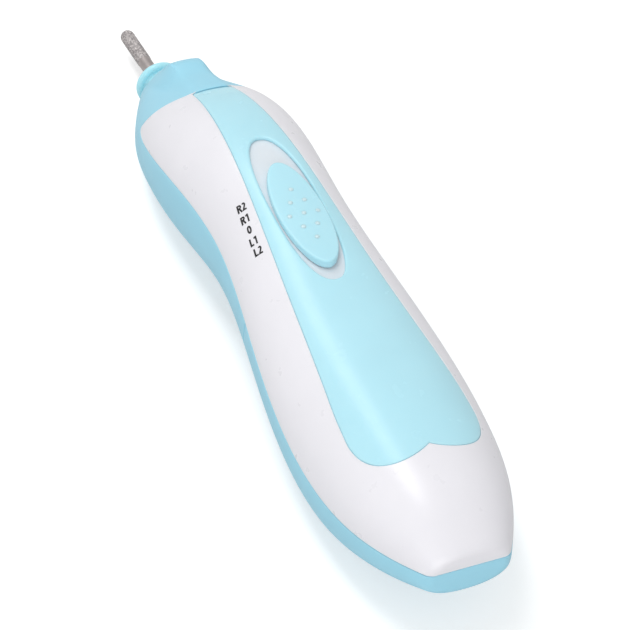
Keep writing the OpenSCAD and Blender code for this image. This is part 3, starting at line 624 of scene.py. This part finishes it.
def bump(tree, height, distance, strength):
    node = tree.nodes.new("ShaderNodeBump")
    node.inputs["Distance"].default_value = distance
    node.inputs["Strength"].default_value = strength
    link(tree, height, node.inputs["Height"])
    return node.outputs["Normal"]


def linear(rgb):
    """Linear light from the 0 to 255 values of a screen colour."""
    v = np.array(rgb) / 255
    return tuple(np.where(v <= 0.04045, v / 12.92, ((v + 0.055) / 1.055) ** 2.4).tolist())


def plastic(name, colour, rough, vary, grain=0.0006, shine=0.5, glow=0.0):
    """Moulded plastic: faint flow clouding, a fine moulded grain and uneven gloss."""
    material, tree, shader = nodes_of(name)
    base = np.array(linear(colour))
    clouds = tint(tree, noise(tree, 90, 2), tuple(base * (1 - vary)), tuple(base * (1 + vary / 2)))
    link(tree, clouds, shader.inputs["Base Color"])
    link(tree, spread_over(tree, noise(tree, 260, 4), rough - 0.04, rough + 0.05),
         shader.inputs["Roughness"])
    link(tree, bump(tree, noise(tree, 1500, 2), grain / 1000, 0.3), shader.inputs["Normal"])
    shader.inputs["IOR"].default_value = 1.5
    shader.inputs["Specular IOR Level"].default_value = shine
    shader.inputs["Subsurface Weight"].default_value = glow
    shader.inputs["Subsurface Radius"].default_value = (1, 1, 1)
    shader.inputs["Subsurface Scale"].default_value = 0.0008
    return material


def metal(name, colour, rough):
    """Metal with fine turning marks and uneven polish."""
    material, tree, shader = nodes_of(name)
    base = np.array(linear(colour))
    shader.inputs["Metallic"].default_value = 1.0
    link(tree, tint(tree, noise(tree, 400, 4), tuple(base * 0.86), tuple(base)),
         shader.inputs["Base Color"])
    link(tree, spread_over(tree, noise(tree, 900, 3), rough - 0.06, rough + 0.08),
         shader.inputs["Roughness"])
    link(tree, bump(tree, noise(tree, 3000, 3), 0.000002, 0.6), shader.inputs["Normal"])
    return material


WHITE = plastic("white_plastic", (233, 232, 237), 0.3, 0.012, glow=0.35)
BLUE = plastic("blue_plastic", (161, 216, 235), 0.38, 0.02, shine=0.12, glow=0.12)
PANEL = plastic("panel_plastic", (182, 228, 240), 0.24, 0.015, shine=0.2, glow=0.35)
DOTS = plastic("dot_plastic", (206, 239, 246), 0.3, 0.01, glow=0.35)
COLLAR = plastic("collar_plastic", (181, 234, 245), 0.3, 0.02, shine=0.3, glow=0.35)
# Painted shade: a darker, cyan-tinted copy of the white plastic for the recess floor, standing in
# for the shade in the recess and the bounce light off the cyan parts round it.
RECESS_SHADE = plastic("recess_painted_shade", (220, 227, 233), 0.34, 0.01, shine=0.3, glow=0.35)
INK = plastic("ink", (28, 26, 30), 0.5, 0.1)


# ---- Casings ----

def white_shell():
    mesh = Mesh()
    seam, level = seam_way(float(SEAM[-1][0]))
    skin = Skin(TOP, level)
    front = white_front()
    outline = panel_side(PANEL_GAP)
    side = from_above(outline)[::-1]
    half = np.concatenate([seam, front, side])
    loop = np.concatenate([half, mirrored(half)[1:-1]])
    n_edge = len(seam) + len(front)
    moved, into, normal, start = seam_edge(skin, loop, SEAM_R, 1)
    mesh.add(*skin.patch([moved], STEP))
    wall = round_edge(mesh, start, into, normal, SEAM_R)
    # The edges run down to the inner skin, and the panel's pocket to its floor
    n_half = len(half)
    inner = on_skin(loop, WALL, level)
    floor_side = from_above(outline, PANEL_T)[::-1]
    floor_half = on_skin(floor_side, PANEL_T)
    other = np.concatenate([[0], np.arange(len(loop) - 1, n_half - 1, -1), [n_half - 1]])
    for index, flip in ((np.arange(n_half), 1), (other, -1)):
        mesh.strip([wall[index][:n_edge + 1], inner[index][:n_edge + 1]])
        mesh.strip([wall[index][n_edge:], floor_half * [1, flip, 1]])
    # Pocket floor, and the inner skin
    gap_turn = np.linspace(floor_side[0, 1], math.pi - floor_side[0, 1], 15)[1:-1]
    gap_floor = at_place(GAP_X, gap_turn)
    ring = np.concatenate([floor_side, mirrored(floor_side)[1:], gap_floor[::-1]])
    hole = up_to_skin(recess(SKIRT_T), PANEL_T)
    mesh.add(*skin.patch([ring, hole], STEP, PANEL_T))
    slot_gap = 0.4
    slot_l, slot_w = STEM_L + 4 * SWITCH_STEP + 2 * slot_gap, STEM_W + 2 * slot_gap
    corners = np.array([[-1, -1], [1, -1], [1, 1], [-1, 1]]) * [slot_l / 2, slot_w / 2]
    slot = np.concatenate([a + np.linspace(0, 1, 9)[:-1, None] * (b - a)
                           for a, b in zip(corners, np.roll(corners, -1, 0))])
    slot_in = up_to_skin(slot, WALL)
    gap_in = np.linspace(loop[n_edge, 1], math.pi - loop[n_edge, 1], 15)[1:-1]
    rim_in = np.concatenate([loop[:n_edge + 1], at_place(GAP_X, gap_in),
                             mirrored(loop[:n_edge + 1])[:-1]])
    mesh.add(*skin.patch([rim_in, slot_in], STEP * 1.5, WALL))
    mesh.strip([on_skin(gap_floor, PANEL_T), handle(GAP_X, gap_in, WALL)])
    # Recess floor
    edge = recess(SKIRT_T)
    mesh.strip([on_skin(hole, PANEL_T), floor_at(edge)], closed=True)

    def spread(step):
        xs = np.arange(-RECESS_L / 2, RECESS_L / 2, step)
        ys = np.arange(-RECESS_W / 2, RECESS_W / 2, step)
        return np.array([(x, y + 0.5 * step * (i % 2)) for i, x in enumerate(xs) for y in ys])
    out, faces, _ = fill([edge, slot], STEP, spread)
    # The recess floor's middle takes the darker cyan-tinted white: painted shade and painted
    # bounce light.
    mesh.add(floor_at(out), faces, slot=1)
    mesh.strip([floor_at(slot), on_skin(slot_in, WALL)], closed=True)
    piece = mesh.build("white_shell", [WHITE, RECESS_SHADE])
    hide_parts("upper_shell")
    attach(piece, "handle")


def top_panel():
    mesh = Mesh()
    skin = Skin(TOP)
    edge_x = panel_side(0.0)[-1, 0]

    def both_sides(half):
        front = np.linspace(half[-1, 1], math.pi - half[-1, 1], 15)[1:-1]
        return np.concatenate([half, at_place(edge_x, front), mirrored(half)[:-1]])

    def filling(inset):
        """Under its rounded edge the panel all but fills the pocket."""
        low = from_above(panel_side(PANEL_GAP - fit), inset)
        low[:, 0] = np.minimum(low[:, 0], edge_x)
        return both_sides(low)
    fit, rim_depth = 0.02, 0.27
    bottom, skirt_t = PANEL_T - fit, SKIRT_T - 0.03
    loop = both_sides(from_above(panel_side(0.0)))
    low_loop, rim_loop = filling(bottom), filling(rim_depth)
    moved, into, normal = skin.drawn_in(loop, PANEL_R)
    hole = up_to_skin(recess(0))
    hole_moved, hole_into, hole_normal = skin.drawn_in(hole, LIP_R)
    # The region lies outside the hole
    if handle(*hole_moved[0])[0] < handle(*hole[0])[0]:
        hole_into = -hole_into
        hole_moved = 2 * hole - hole_moved
    mesh.add(*skin.patch([moved, hole_moved], STEP * 0.75))
    wall = round_edge(mesh, on_skin(moved), into, normal, PANEL_R)
    lip_row = round_edge(mesh, on_skin(hole_moved), hole_into, hole_normal, LIP_R, steps=7)
    skirt = up_to_skin(recess(skirt_t), bottom)
    mesh.strip([wall, on_skin(rim_loop, rim_depth), on_skin(low_loop, bottom)], closed=True)
    lift = in_switch([0, 0, fit]) - in_switch([0, 0, 0])
    mesh.strip([lip_row, floor_at(recess(0)) + lift, floor_at(recess(skirt_t)) + lift,
                on_skin(skirt, bottom)], closed=True)
    mesh.add(*skin.patch([low_loop, skirt], STEP * 1.5, bottom))
    piece = mesh.build("inlaid_panel", [PANEL])
    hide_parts("top_panel")
    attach(piece, "handle")


def battery_cover():
    mesh = Mesh()
    front_x = COVER_L - COVER_GAP
    seam, level = seam_way(front_x, SEAM_GAP)
    skin = Skin(UNDER, level)
    half = np.concatenate([seam, at_place(front_x, np.linspace(seam[-1, 1], UNDER, 44)[1:])])
    other = half[::-1].copy()
    other[:, 1] = -math.pi - other[:, 1]
    loop = np.concatenate([half, other[1:-1]])
    moved, into, normal, start = seam_edge(skin, loop, BLUE_R, -1)
    mesh.add(*skin.patch([moved], STEP))
    wall = round_edge(mesh, start, into, normal, BLUE_R)
    mesh.strip([wall, on_skin(loop, WALL, level)], closed=True)
    mesh.add(*skin.patch([loop], STEP * 1.5, WALL))
    piece = mesh.build("battery_door", [BLUE])
    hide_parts("battery_cover")
    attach(piece, "cover")


def in_drive(u, across, up):
    """From the spindle's frame, at the nose rim, to the handle's."""
    c, s = math.cos(DRIVE_TILT), math.sin(DRIVE_TILT)
    u, across, up = np.broadcast_arrays(*[np.asarray(v, float) for v in (u, across, up)])
    return np.stack([BODY_L + u * c + up * s, across, AXIS_Z - u * s + up * c], -1)


def drive_ring(u, radius, turns):
    return in_drive(u, radius * np.cos(turns), radius * np.sin(turns))


def lathe(mesh, profile, sides=128, closed=True):
    """Turns a profile of (way, radius) points about the spindle's axis."""
    turns = 2 * math.pi * np.arange(sides) / sides
    rows = [drive_ring(u, r, turns) for u, r in profile]
    mesh.strip(rows + ([rows[0]] if closed else []), closed=True)


def around_screw(side, r):
    a = 2 * math.pi * np.arange(40) / 40
    return np.stack([WELL_X + r * np.cos(a), side * WELL_Y + r * np.sin(a)], -1)


def under_screw(side, r, inset=0.0):
    x, y = around_screw(side, r).T
    return np.stack([x, -turn_at_side(x, y, inset)], -1)


def lower_shell():
    mesh = Mesh()
    skin = Skin(UNDER)
    seam, _ = seam_way(float(SEAM[-1][0]))
    seam = seam[seam[:, 0] > COVER_L + 0.3]
    seam = np.concatenate([[[COVER_L, float(turn_at_height(COVER_L, seam_z(COVER_L)))]], seam])
    front = white_front()
    gap_x = GAP_X + NOSE_GAP
    corner_y = PANEL_FRONT_W / 2 + PANEL_GAP
    front[-1] = gap_x + 0.2, turn_at_side(gap_x + 0.2, corner_y)
    gap_start = float(turn_at_side(gap_x, corner_y))
    gap = at_place(gap_x, np.linspace(gap_start, TOP, 10))
    rear = at_place(COVER_L, np.linspace(UNDER, seam[0, 1], 44)[:-1])
    half = np.concatenate([rear, seam, front, gap])
    other = half[::-1].copy()
    other[:, 1] = -math.pi - other[:, 1]
    ring = np.concatenate([half[:-1], other[:-1]])
    rim_turn = np.linspace(TOP, TOP - 2 * math.pi, 161)[:-1]
    rim_x = np.full(160, BODY_L - 1.0)
    for _ in range(4):
        z = handle(rim_x, rim_turn)[:, 2]
        rim_x = BODY_L + (RIM_FACE + (z - AXIS_Z) * math.sin(DRIVE_TILT)) / math.cos(DRIVE_TILT)
    rim = np.stack([rim_x, rim_turn], -1)
    ring_moved, ring_into, ring_normal = skin.drawn_in(ring, BLUE_R)
    rim_moved, rim_into, rim_normal = skin.drawn_in(rim, RIM_R)
    rim_into, rim_moved = signed(rim, rim_into, rim_moved, -1)
    # Screw wells on the underside, and the columns round them inside
    screw_r, column_r = 1.4, 4.1
    wells = [under_screw(side, WELL_D / 2) for side in (1, -1)]
    columns = [under_screw(side, column_r, WALL) for side in (1, -1)]
    split = len(half) - 1
    mesh.add(*skin.patch([cut_open(ring_moved, split, rim_moved, STEP * 0.6)] + wells, STEP * 0.7))
    wall = round_edge(mesh, on_skin(ring_moved), ring_into, ring_normal, BLUE_R)
    rim_wall = round_edge(mesh, on_skin(rim_moved), rim_into, rim_normal, RIM_R)
    # Nose face, bore and inner skin
    turns = np.unwrap(np.arctan2(rim_wall[:, 2] - AXIS_Z, rim_wall[:, 1]))
    bore_end = (INNER_END - BODY_L) / math.cos(DRIVE_TILT)
    ring_in = at_place(INNER_END, rim_turn)
    mesh.strip([rim_wall, drive_ring(RIM_FACE, BORE_R, turns), drive_ring(bore_end, BORE_R, turns),
                on_skin(ring_in, WALL)], closed=True)
    mesh.strip([wall, on_skin(ring, WALL)], closed=True)
    mesh.add(*skin.patch([cut_open(ring, split, ring_in, 1.2)] + columns, STEP * 1.5, WALL))
    seat_z, column_z = float(seam_z(WELL_X)) - 2, float(seam_z(WELL_X)) - 0.4
    for side, well, column in zip((1, -1), wells, columns):
        rings = [np.column_stack([around_screw(side, r), np.full(40, z)]) for r, z in (
            (WELL_D / 2, seat_z), (screw_r, seat_z), (screw_r, column_z), (column_r, column_z))]
        mesh.strip([on_skin(well), *rings, on_skin(column, WALL)], closed=True)
    piece = mesh.build("lower_casing", [BLUE])
    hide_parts("lower_shell")
    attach(piece, "handle")


# ---- Switch button ----

def button():
    mesh = Mesh()
    crown_r, edge_r, grown, floor_gap, sides = 27.0, 0.45, 0.08, 0.2, 180

    def crown(p):
        return BUTTON_H - crown_r + np.sqrt(crown_r**2 - p[:, 1]**2)

    def at_rest(*columns):
        """Points of the switch's frame with the button at its mark 0."""
        return in_switch(np.column_stack(columns) - [SWITCH_STEP, 0, 0])

    def middle(x, y, z):
        return at_rest([x], [y], [z])[0]
    full = oval(BUTTON_L, BUTTON_W + 2 * grown, sides)
    normal = full / [(BUTTON_L / 2)**2, (BUTTON_W / 2)**2]
    normal /= np.linalg.norm(normal, axis=1, keepdims=True)
    core = full - edge_r * normal
    rows = [at_rest(core * share, crown(core * share)) for share in np.linspace(0.04, 1, 26)]
    for a in math.pi / 2 * 0.96 * np.arange(1, 8) / 7:
        rows.append(at_rest(core + edge_r * math.sin(a) * normal,
                            crown(core) - edge_r * (1 - math.cos(a))))
    low = floor_drop(full) + floor_gap
    rows += [at_rest(full, low + 0.1), at_rest(full - 0.1 * normal, low)]
    mesh.capped(rows, middle(0, 0, BUTTON_H), middle(0, 0, floor_gap))
    stem = np.array([[-1, -1], [1, -1], [1, 1], [-1, 1]]) * [STEM_L / 2, STEM_W / 2]
    stem_top, stem_end = 0.5, -1.8
    mesh.capped([at_rest(stem, np.full(4, z)) for z in (stem_top, stem_end)],
                middle(0, 0, stem_top), middle(0, 0, stem_end))
    dot_r, dot_h, dot_sink, dots_x = 0.5, 0.13, 0.15, -0.63
    ring = 2 * math.pi * np.arange(20) / 20
    circle = np.stack([np.cos(ring), np.sin(ring)], -1)
    for i in (-1, 0, 1):
        for j in (-1, 0, 1):
            at = np.array([(i + j) * DOT_PITCH + dots_x, (i - j) * DOT_SIDE])
            rows = []
            for a in math.pi / 2 * np.linspace(0, 1, 7)[1:]:
                p = at + dot_r * math.sin(a) * circle
                rows.append(at_rest(p, crown(p) + dot_h * math.cos(a)))
            rows.append(at_rest(p, crown(p) + dot_h * math.cos(a) - dot_sink))
            top = float(crown(at[None])[0])
            mesh.capped(rows, middle(*at, top + dot_h), middle(*at, top - dot_sink), slot=1)
    piece = mesh.build("slide_button", [PANEL, DOTS])
    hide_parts("switch_button")
    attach(piece, "switch")


# ---- Nose collar and bit ----

def arc(centre_u, centre_r, radius, start, end, steps):
    a = np.radians(np.linspace(start, end, steps))
    return [(centre_u + radius * math.cos(t), centre_r + radius * math.sin(t)) for t in a]


def collar():
    mesh = Mesh()
    bead, bead_u, bore_r, plug_r, flange_r = 0.95, 4.8, 3.53, 5.0, 5.6
    face = RIM_FACE + 0.02
    lathe(mesh, [
        (-15, bore_r), (-15, 4.9), (-14.9, plug_r), (face, plug_r), (face, flange_r),
        (-0.25, flange_r), *arc(-0.25, 5.35, 0.25, 90, 30, 4),
        (0.3, 5.2), (1.0, 4.85), (1.8, 4.5), (2.5, 4.22), (3.15, 4.02), (3.45, 3.96), (3.7, 4.0),
        *arc(bead_u, BEAD_D / 2 - bead, bead, 200, 0, 22),
        *arc(bead_u + 0.15, 4.1, 0.8, 20, -60, 6),
        (4.75, 3.05), (3.2, 3.0), (3.2, bore_r)])
    piece = mesh.build("nose_ring", [COLLAR])
    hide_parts("nose_collar")
    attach(piece, "handle")


def bit():
    mesh = Mesh()
    start = BIT_OUT - GRIT_L
    r = BIT_D / 2
    stem, shank, sides = r - 0.05, SHANK_D / 2, 96
    lathe(mesh, [
        (-12.5, NEAR_AXIS), (-12.5, shank - 0.1), (-12.4, shank), (4.4, shank),
        (4.4, stem - 0.15), (4.55, stem), (start, stem), (start, NEAR_AXIS)], sides, closed=False)
    piece = mesh.build("bit_stem", [STEEL_BIT])
    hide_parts("bit_shank")
    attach(piece, "bit")
    # Grains of diamond stand out of the plating
    rng = np.random.default_rng(7)
    rows, grain, sunk, apart = 118, 0.1, 0.01, 0.01
    turns = 2 * math.pi * np.arange(sides) / sides
    dome = BIT_OUT - r
    way = np.concatenate([np.linspace(start + apart, dome, rows),
                          dome + r * np.sin(np.linspace(0, math.pi / 2, 20)[1:-1])])
    radius = np.where(way > dome, np.sqrt(np.maximum(r**2 - (way - BIT_OUT + r)**2, 0)), r)
    height = grain * rng.random((len(way), sides)) ** 2 - sunk
    height[0] = -0.02
    mesh = Mesh()
    grid = [drive_ring(u, max(radius[i], NEAR_AXIS) + height[i] * min(1, radius[i]), turns)
            for i, u in enumerate(way)]
    mesh.capped(grid, in_drive(start + apart, 0, 0), in_drive(BIT_OUT - 0.01, 0, 0))
    piece = mesh.build("bit_grit", [GRIT], crease=math.radians(179))
    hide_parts("bit_head")
    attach(piece, "bit")


def grit_material():
    """Sparkling grains of diamond in plating."""
    material, tree, shader = nodes_of("diamond_grit")
    place = tree.nodes.new("ShaderNodeTexCoord")
    cells = tree.nodes.new("ShaderNodeTexVoronoi")
    cells.inputs["Scale"].default_value = 3800
    link(tree, place.outputs["Object"], cells.inputs["Vector"])
    grains = tint(tree, cells.outputs["Color"], linear((142, 136, 137)), linear((216, 210, 208)),
                  (0.2, 0.85))
    link(tree, grains, shader.inputs["Base Color"])
    link(tree, spread_over(tree, noise(tree, 4000, 2), 0.42, 0.62), shader.inputs["Roughness"])
    link(tree, bump(tree, cells.outputs["Distance"], 0.00003, 0.7), shader.inputs["Normal"])
    shader.inputs["Metallic"].default_value = 0.3
    return material


STEEL_BIT = metal("bit_steel", (196, 188, 186), 0.45)
GRIT = grit_material()


# ---- Switch marks ----

STROKE, LETTER_GAP = 0.2, 0.09  # Shares of a mark's height


def turned(centre, radii, first, last, steps=14):
    a = np.radians(np.linspace(first, last, steps))
    return np.stack([centre[0] + radii[0] * np.cos(a), centre[1] + radii[1] * np.sin(a)], -1)


def glyph(letter):
    """Width of a mark and the middle lines of its strokes, at a height of 1."""
    h = STROKE / 2
    if letter == "R":
        bowl = turned((0.26, 0.72), (0.2, 0.28 - h), 90, -90)
        bowl = np.concatenate([[[h, 1 - h]], bowl, [[h, 0.44 + h]]])
        return 0.56, [[(h, 0), (h, 1)], bowl, [(0.27, 0.5), (0.36, 0.36), (0.51, 0)]]
    if letter == "L":
        return 0.46, [[(h, 0), (h, 1)], [(h, h), (0.46, h)]]
    if letter == "1":
        return 0.42, [[(0.29, 0), (0.29, 1)], [(0.04, 0.79), (0.29, 0.93)]]
    if letter == "2":
        hook = turned((0.225, 0.72), (0.235 - h, 0.28 - h), 150, -40)
        return 0.48, [np.concatenate([hook, [[0.07, h]], [[0.48, h]]])]
    return 0.56, [turned((0.28, 0.5), (0.28 - h, 0.5 - h), 0, 360, 41)]


def stroke_sides(line):
    """The two sides of a stroke about its middle line, with mitred corners."""
    line = np.asarray(line, float)
    way = np.diff(line, axis=0)
    way /= np.linalg.norm(way, axis=1, keepdims=True)
    across = np.stack([-way[:, 1], way[:, 0]], -1)
    closed = np.allclose(line[0], line[-1])
    first, last = (across[-1], across[0]) if closed else (across[0], across[-1])
    before, after = np.vstack([first, across]), np.vstack([across, last])
    offset = STROKE / 2 * (before + after) / (1 + (before * after).sum(1, keepdims=True))
    return line + offset, line - offset


def marks():
    """The printed marks beside the switch, R2 at the nose end to L2."""
    height, lean, film, depth = 1.96, math.radians(10), 0.012, 0.03
    c, s = math.cos(lean), math.sin(lean)
    for word, x, y in (("R2", 93.3, 10.0), ("R1", 90.3, 10.4), ("0", 87.4, 10.6),
                       ("L1", 84.3, 10.9), ("L2", 81.5, 11.0)):
        turn = float(turn_at_side(x, y))
        slant = handle(x, turn + 1e-4) - handle(x, turn)
        slant = slant[1] / np.linalg.norm(slant)
        drawn = [glyph(letter) for letter in word]
        width = sum(w for w, _ in drawn) + LETTER_GAP * (len(word) - 1)
        mesh, place = Mesh(), -width / 2
        for w, lines in drawn:
            for line in lines:
                left, right = stroke_sides(line)
                rows = []
                for side, lift in ((left, film), (right, film), (right, -depth), (left, -depth)):
                    read = (side[:, 0] + place) * height
                    rise = (side[:, 1] - 0.5) * height
                    px = x + rise * c - read * s
                    py = y + (rise * s + read * c) * slant
                    at = turn_at_side(px, py)
                    rows.append(handle(px, at) + lift * Skin(TOP).normal(px, at))
                mesh.strip(rows + [rows[0]])
                for end in (0, -1):
                    mesh.add([row[end] for row in rows], [(0, 1, 2, 3)])
            place += w + LETTER_GAP
        piece = mesh.build("mark_" + word, [INK])
        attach(piece, "handle")


white_shell()
lower_shell()
battery_cover()
top_panel()
button()
collar()
bit()
marks()


# ---- Carried pieces ----

INSIDE = {
    metal("bright_steel", (196, 196, 200), 0.3): [
        "board_screws", "spindle", "motor_can", "motor_shaft", "rear_contact", "rear_spring",
        "front_button_contact", "front_spring_contact", "front_spring", "housing_screws"],
    metal("brass", (205, 172, 100), 0.34): [
        "wiper_contact", "front_bush", "rear_bush", "thrust_washer", "motor_terminals"],
    metal("copper", (196, 112, 66), 0.36): ["motor_brushes", "armature_windings", "commutator"],
    metal("laminations", (118, 118, 122), 0.5): ["armature_core"],
    plastic("black_moulding", (34, 34, 37), 0.45, 0.1): ["switch_carriage", "shaft_coupling"],
    plastic("cream_moulding", (232, 228, 216), 0.45, 0.03): [
        "detent_rail", "motor_end_bell", "battery_tray"],
    plastic("board", (26, 104, 56), 0.35, 0.12): ["switch_board"],
    plastic("felt", (214, 208, 190), 0.9, 0.12, 0.02): ["dust_seal"],
    plastic("foam", (62, 64, 74), 0.9, 0.2, 0.03): ["motor_pad"],
    plastic("magnet", (58, 58, 62), 0.6, 0.15, 0.004): ["motor_magnets"],
    plastic("cell_sleeve", (40, 43, 50), 0.28, 0.06): ["cell_left", "cell_right"],
    plastic("red_insulation", (190, 30, 32), 0.4, 0.06): ["battery_wire_red", "motor_wire_red"],
    plastic("black_insulation", (24, 24, 26), 0.4, 0.1): [
        "battery_wire_black", "motor_wire_black"],
}
for material, names in INSIDE.items():
    for name in names:
        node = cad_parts[name]
        node.data.materials.clear()
        node.data.materials.append(material)


# ---- Floor, light and camera ----

def seen_or_lit(tree, seen, lit, strength):
    """Gives a strength one value for the camera and another for the object."""
    path = tree.nodes.new("ShaderNodeLightPath")
    choice = tree.nodes.new("ShaderNodeMapRange")
    choice.inputs["To Min"].default_value = lit
    choice.inputs["To Max"].default_value = seen
    link(tree, path.outputs["Is Camera Ray"], choice.inputs["Value"])
    link(tree, choice.outputs["Result"], strength)


def floor():
    mesh = bpy.data.meshes.new("floor")
    half, z = 3.0, -0.00002
    mesh.from_pydata([(-half, -half, z), (half, -half, z), (half, half, z), (-half, half, z)],
                     [], [(0, 1, 2, 3)])
    ground = new_object("floor", mesh)
    material, tree, shader = nodes_of("floor")
    shader.inputs["Roughness"].default_value = 0.9
    shader.inputs["Base Color"].default_value = (0.7, 0.7, 0.7, 1)
    shader.inputs["Emission Color"].default_value = (1, 1, 1, 1)
    seen_or_lit(tree, 0.45, 0.0, shader.inputs["Emission Strength"])
    mesh.materials.append(material)


def aim(item, side, rise, back, at):
    """Puts a lamp or a camera at a point, with its back along a direction."""
    axes = [[side[i], rise[i], back[i], at[i]] for i in range(3)]
    item.matrix_world = Matrix(axes + [[0, 0, 0, 1]])


def lamp(name, at, toward, size, watts):
    data = bpy.data.lights.new(name, "AREA")
    data.shape = "RECTANGLE"
    data.size, data.size_y = size
    data.energy = watts
    direction = np.array(toward, float) - np.array(at, float)
    direction /= np.linalg.norm(direction)
    side = np.cross(direction, [0, 1, 0])
    side /= np.linalg.norm(side)
    aim(new_object(name, data), side, np.cross(side, direction), -direction, at)


floor()
world = bpy.data.worlds.new("studio")
bpy.context.scene.world = world
world.use_nodes = True
sky = world.node_tree
sky.nodes["Background"].inputs["Color"].default_value = (1, 1, 1, 1)
seen_or_lit(sky, 1.0, 0.57, sky.nodes["Background"].inputs["Strength"])
lamp("overhead", (0.25, 0.15, 0.74), (-0.03, 0, 0.02), (0.7, 0.2), 3.0)
lamp("fill", (-0.75, 0.4, 0.3), (0, 0, 0.02), (0.6, 0.6), 2.6)

AZIMUTH, ELEVATION, ROLL = math.radians(153.506), math.radians(43.374), math.radians(5.391)
DISTANCE, AIM = 600.0, np.array([80.0, 0, 18.0])
FOCAL_PX, CENTRE_PX, FRAME_PX, SENSOR = 2901.0, (306.212, 294.64), 630, 36
away = np.array([math.cos(ELEVATION) * math.cos(AZIMUTH), math.cos(ELEVATION) * math.sin(AZIMUTH),
                 math.sin(ELEVATION)])
right = np.cross(-away, [0, 0, 1])
right /= np.linalg.norm(right)
up = np.cross(right, -away)
right, up = (math.cos(ROLL) * right + math.sin(ROLL) * up,
             math.cos(ROLL) * up - math.sin(ROLL) * right)
eye = to_frame(AIM + DISTANCE * away)
lens = bpy.data.cameras.new("camera")
lens.sensor_width = SENSOR
lens.lens = SENSOR * FOCAL_PX / FRAME_PX
lens.shift_x = 0.5 - CENTRE_PX[0] / FRAME_PX
lens.shift_y = CENTRE_PX[1] / FRAME_PX - 0.5
camera = new_object("camera", lens)
aim(camera, right, up, away, eye)
bpy.context.scene.camera = camera
bpy.context.scene.view_settings.view_transform = "Standard"
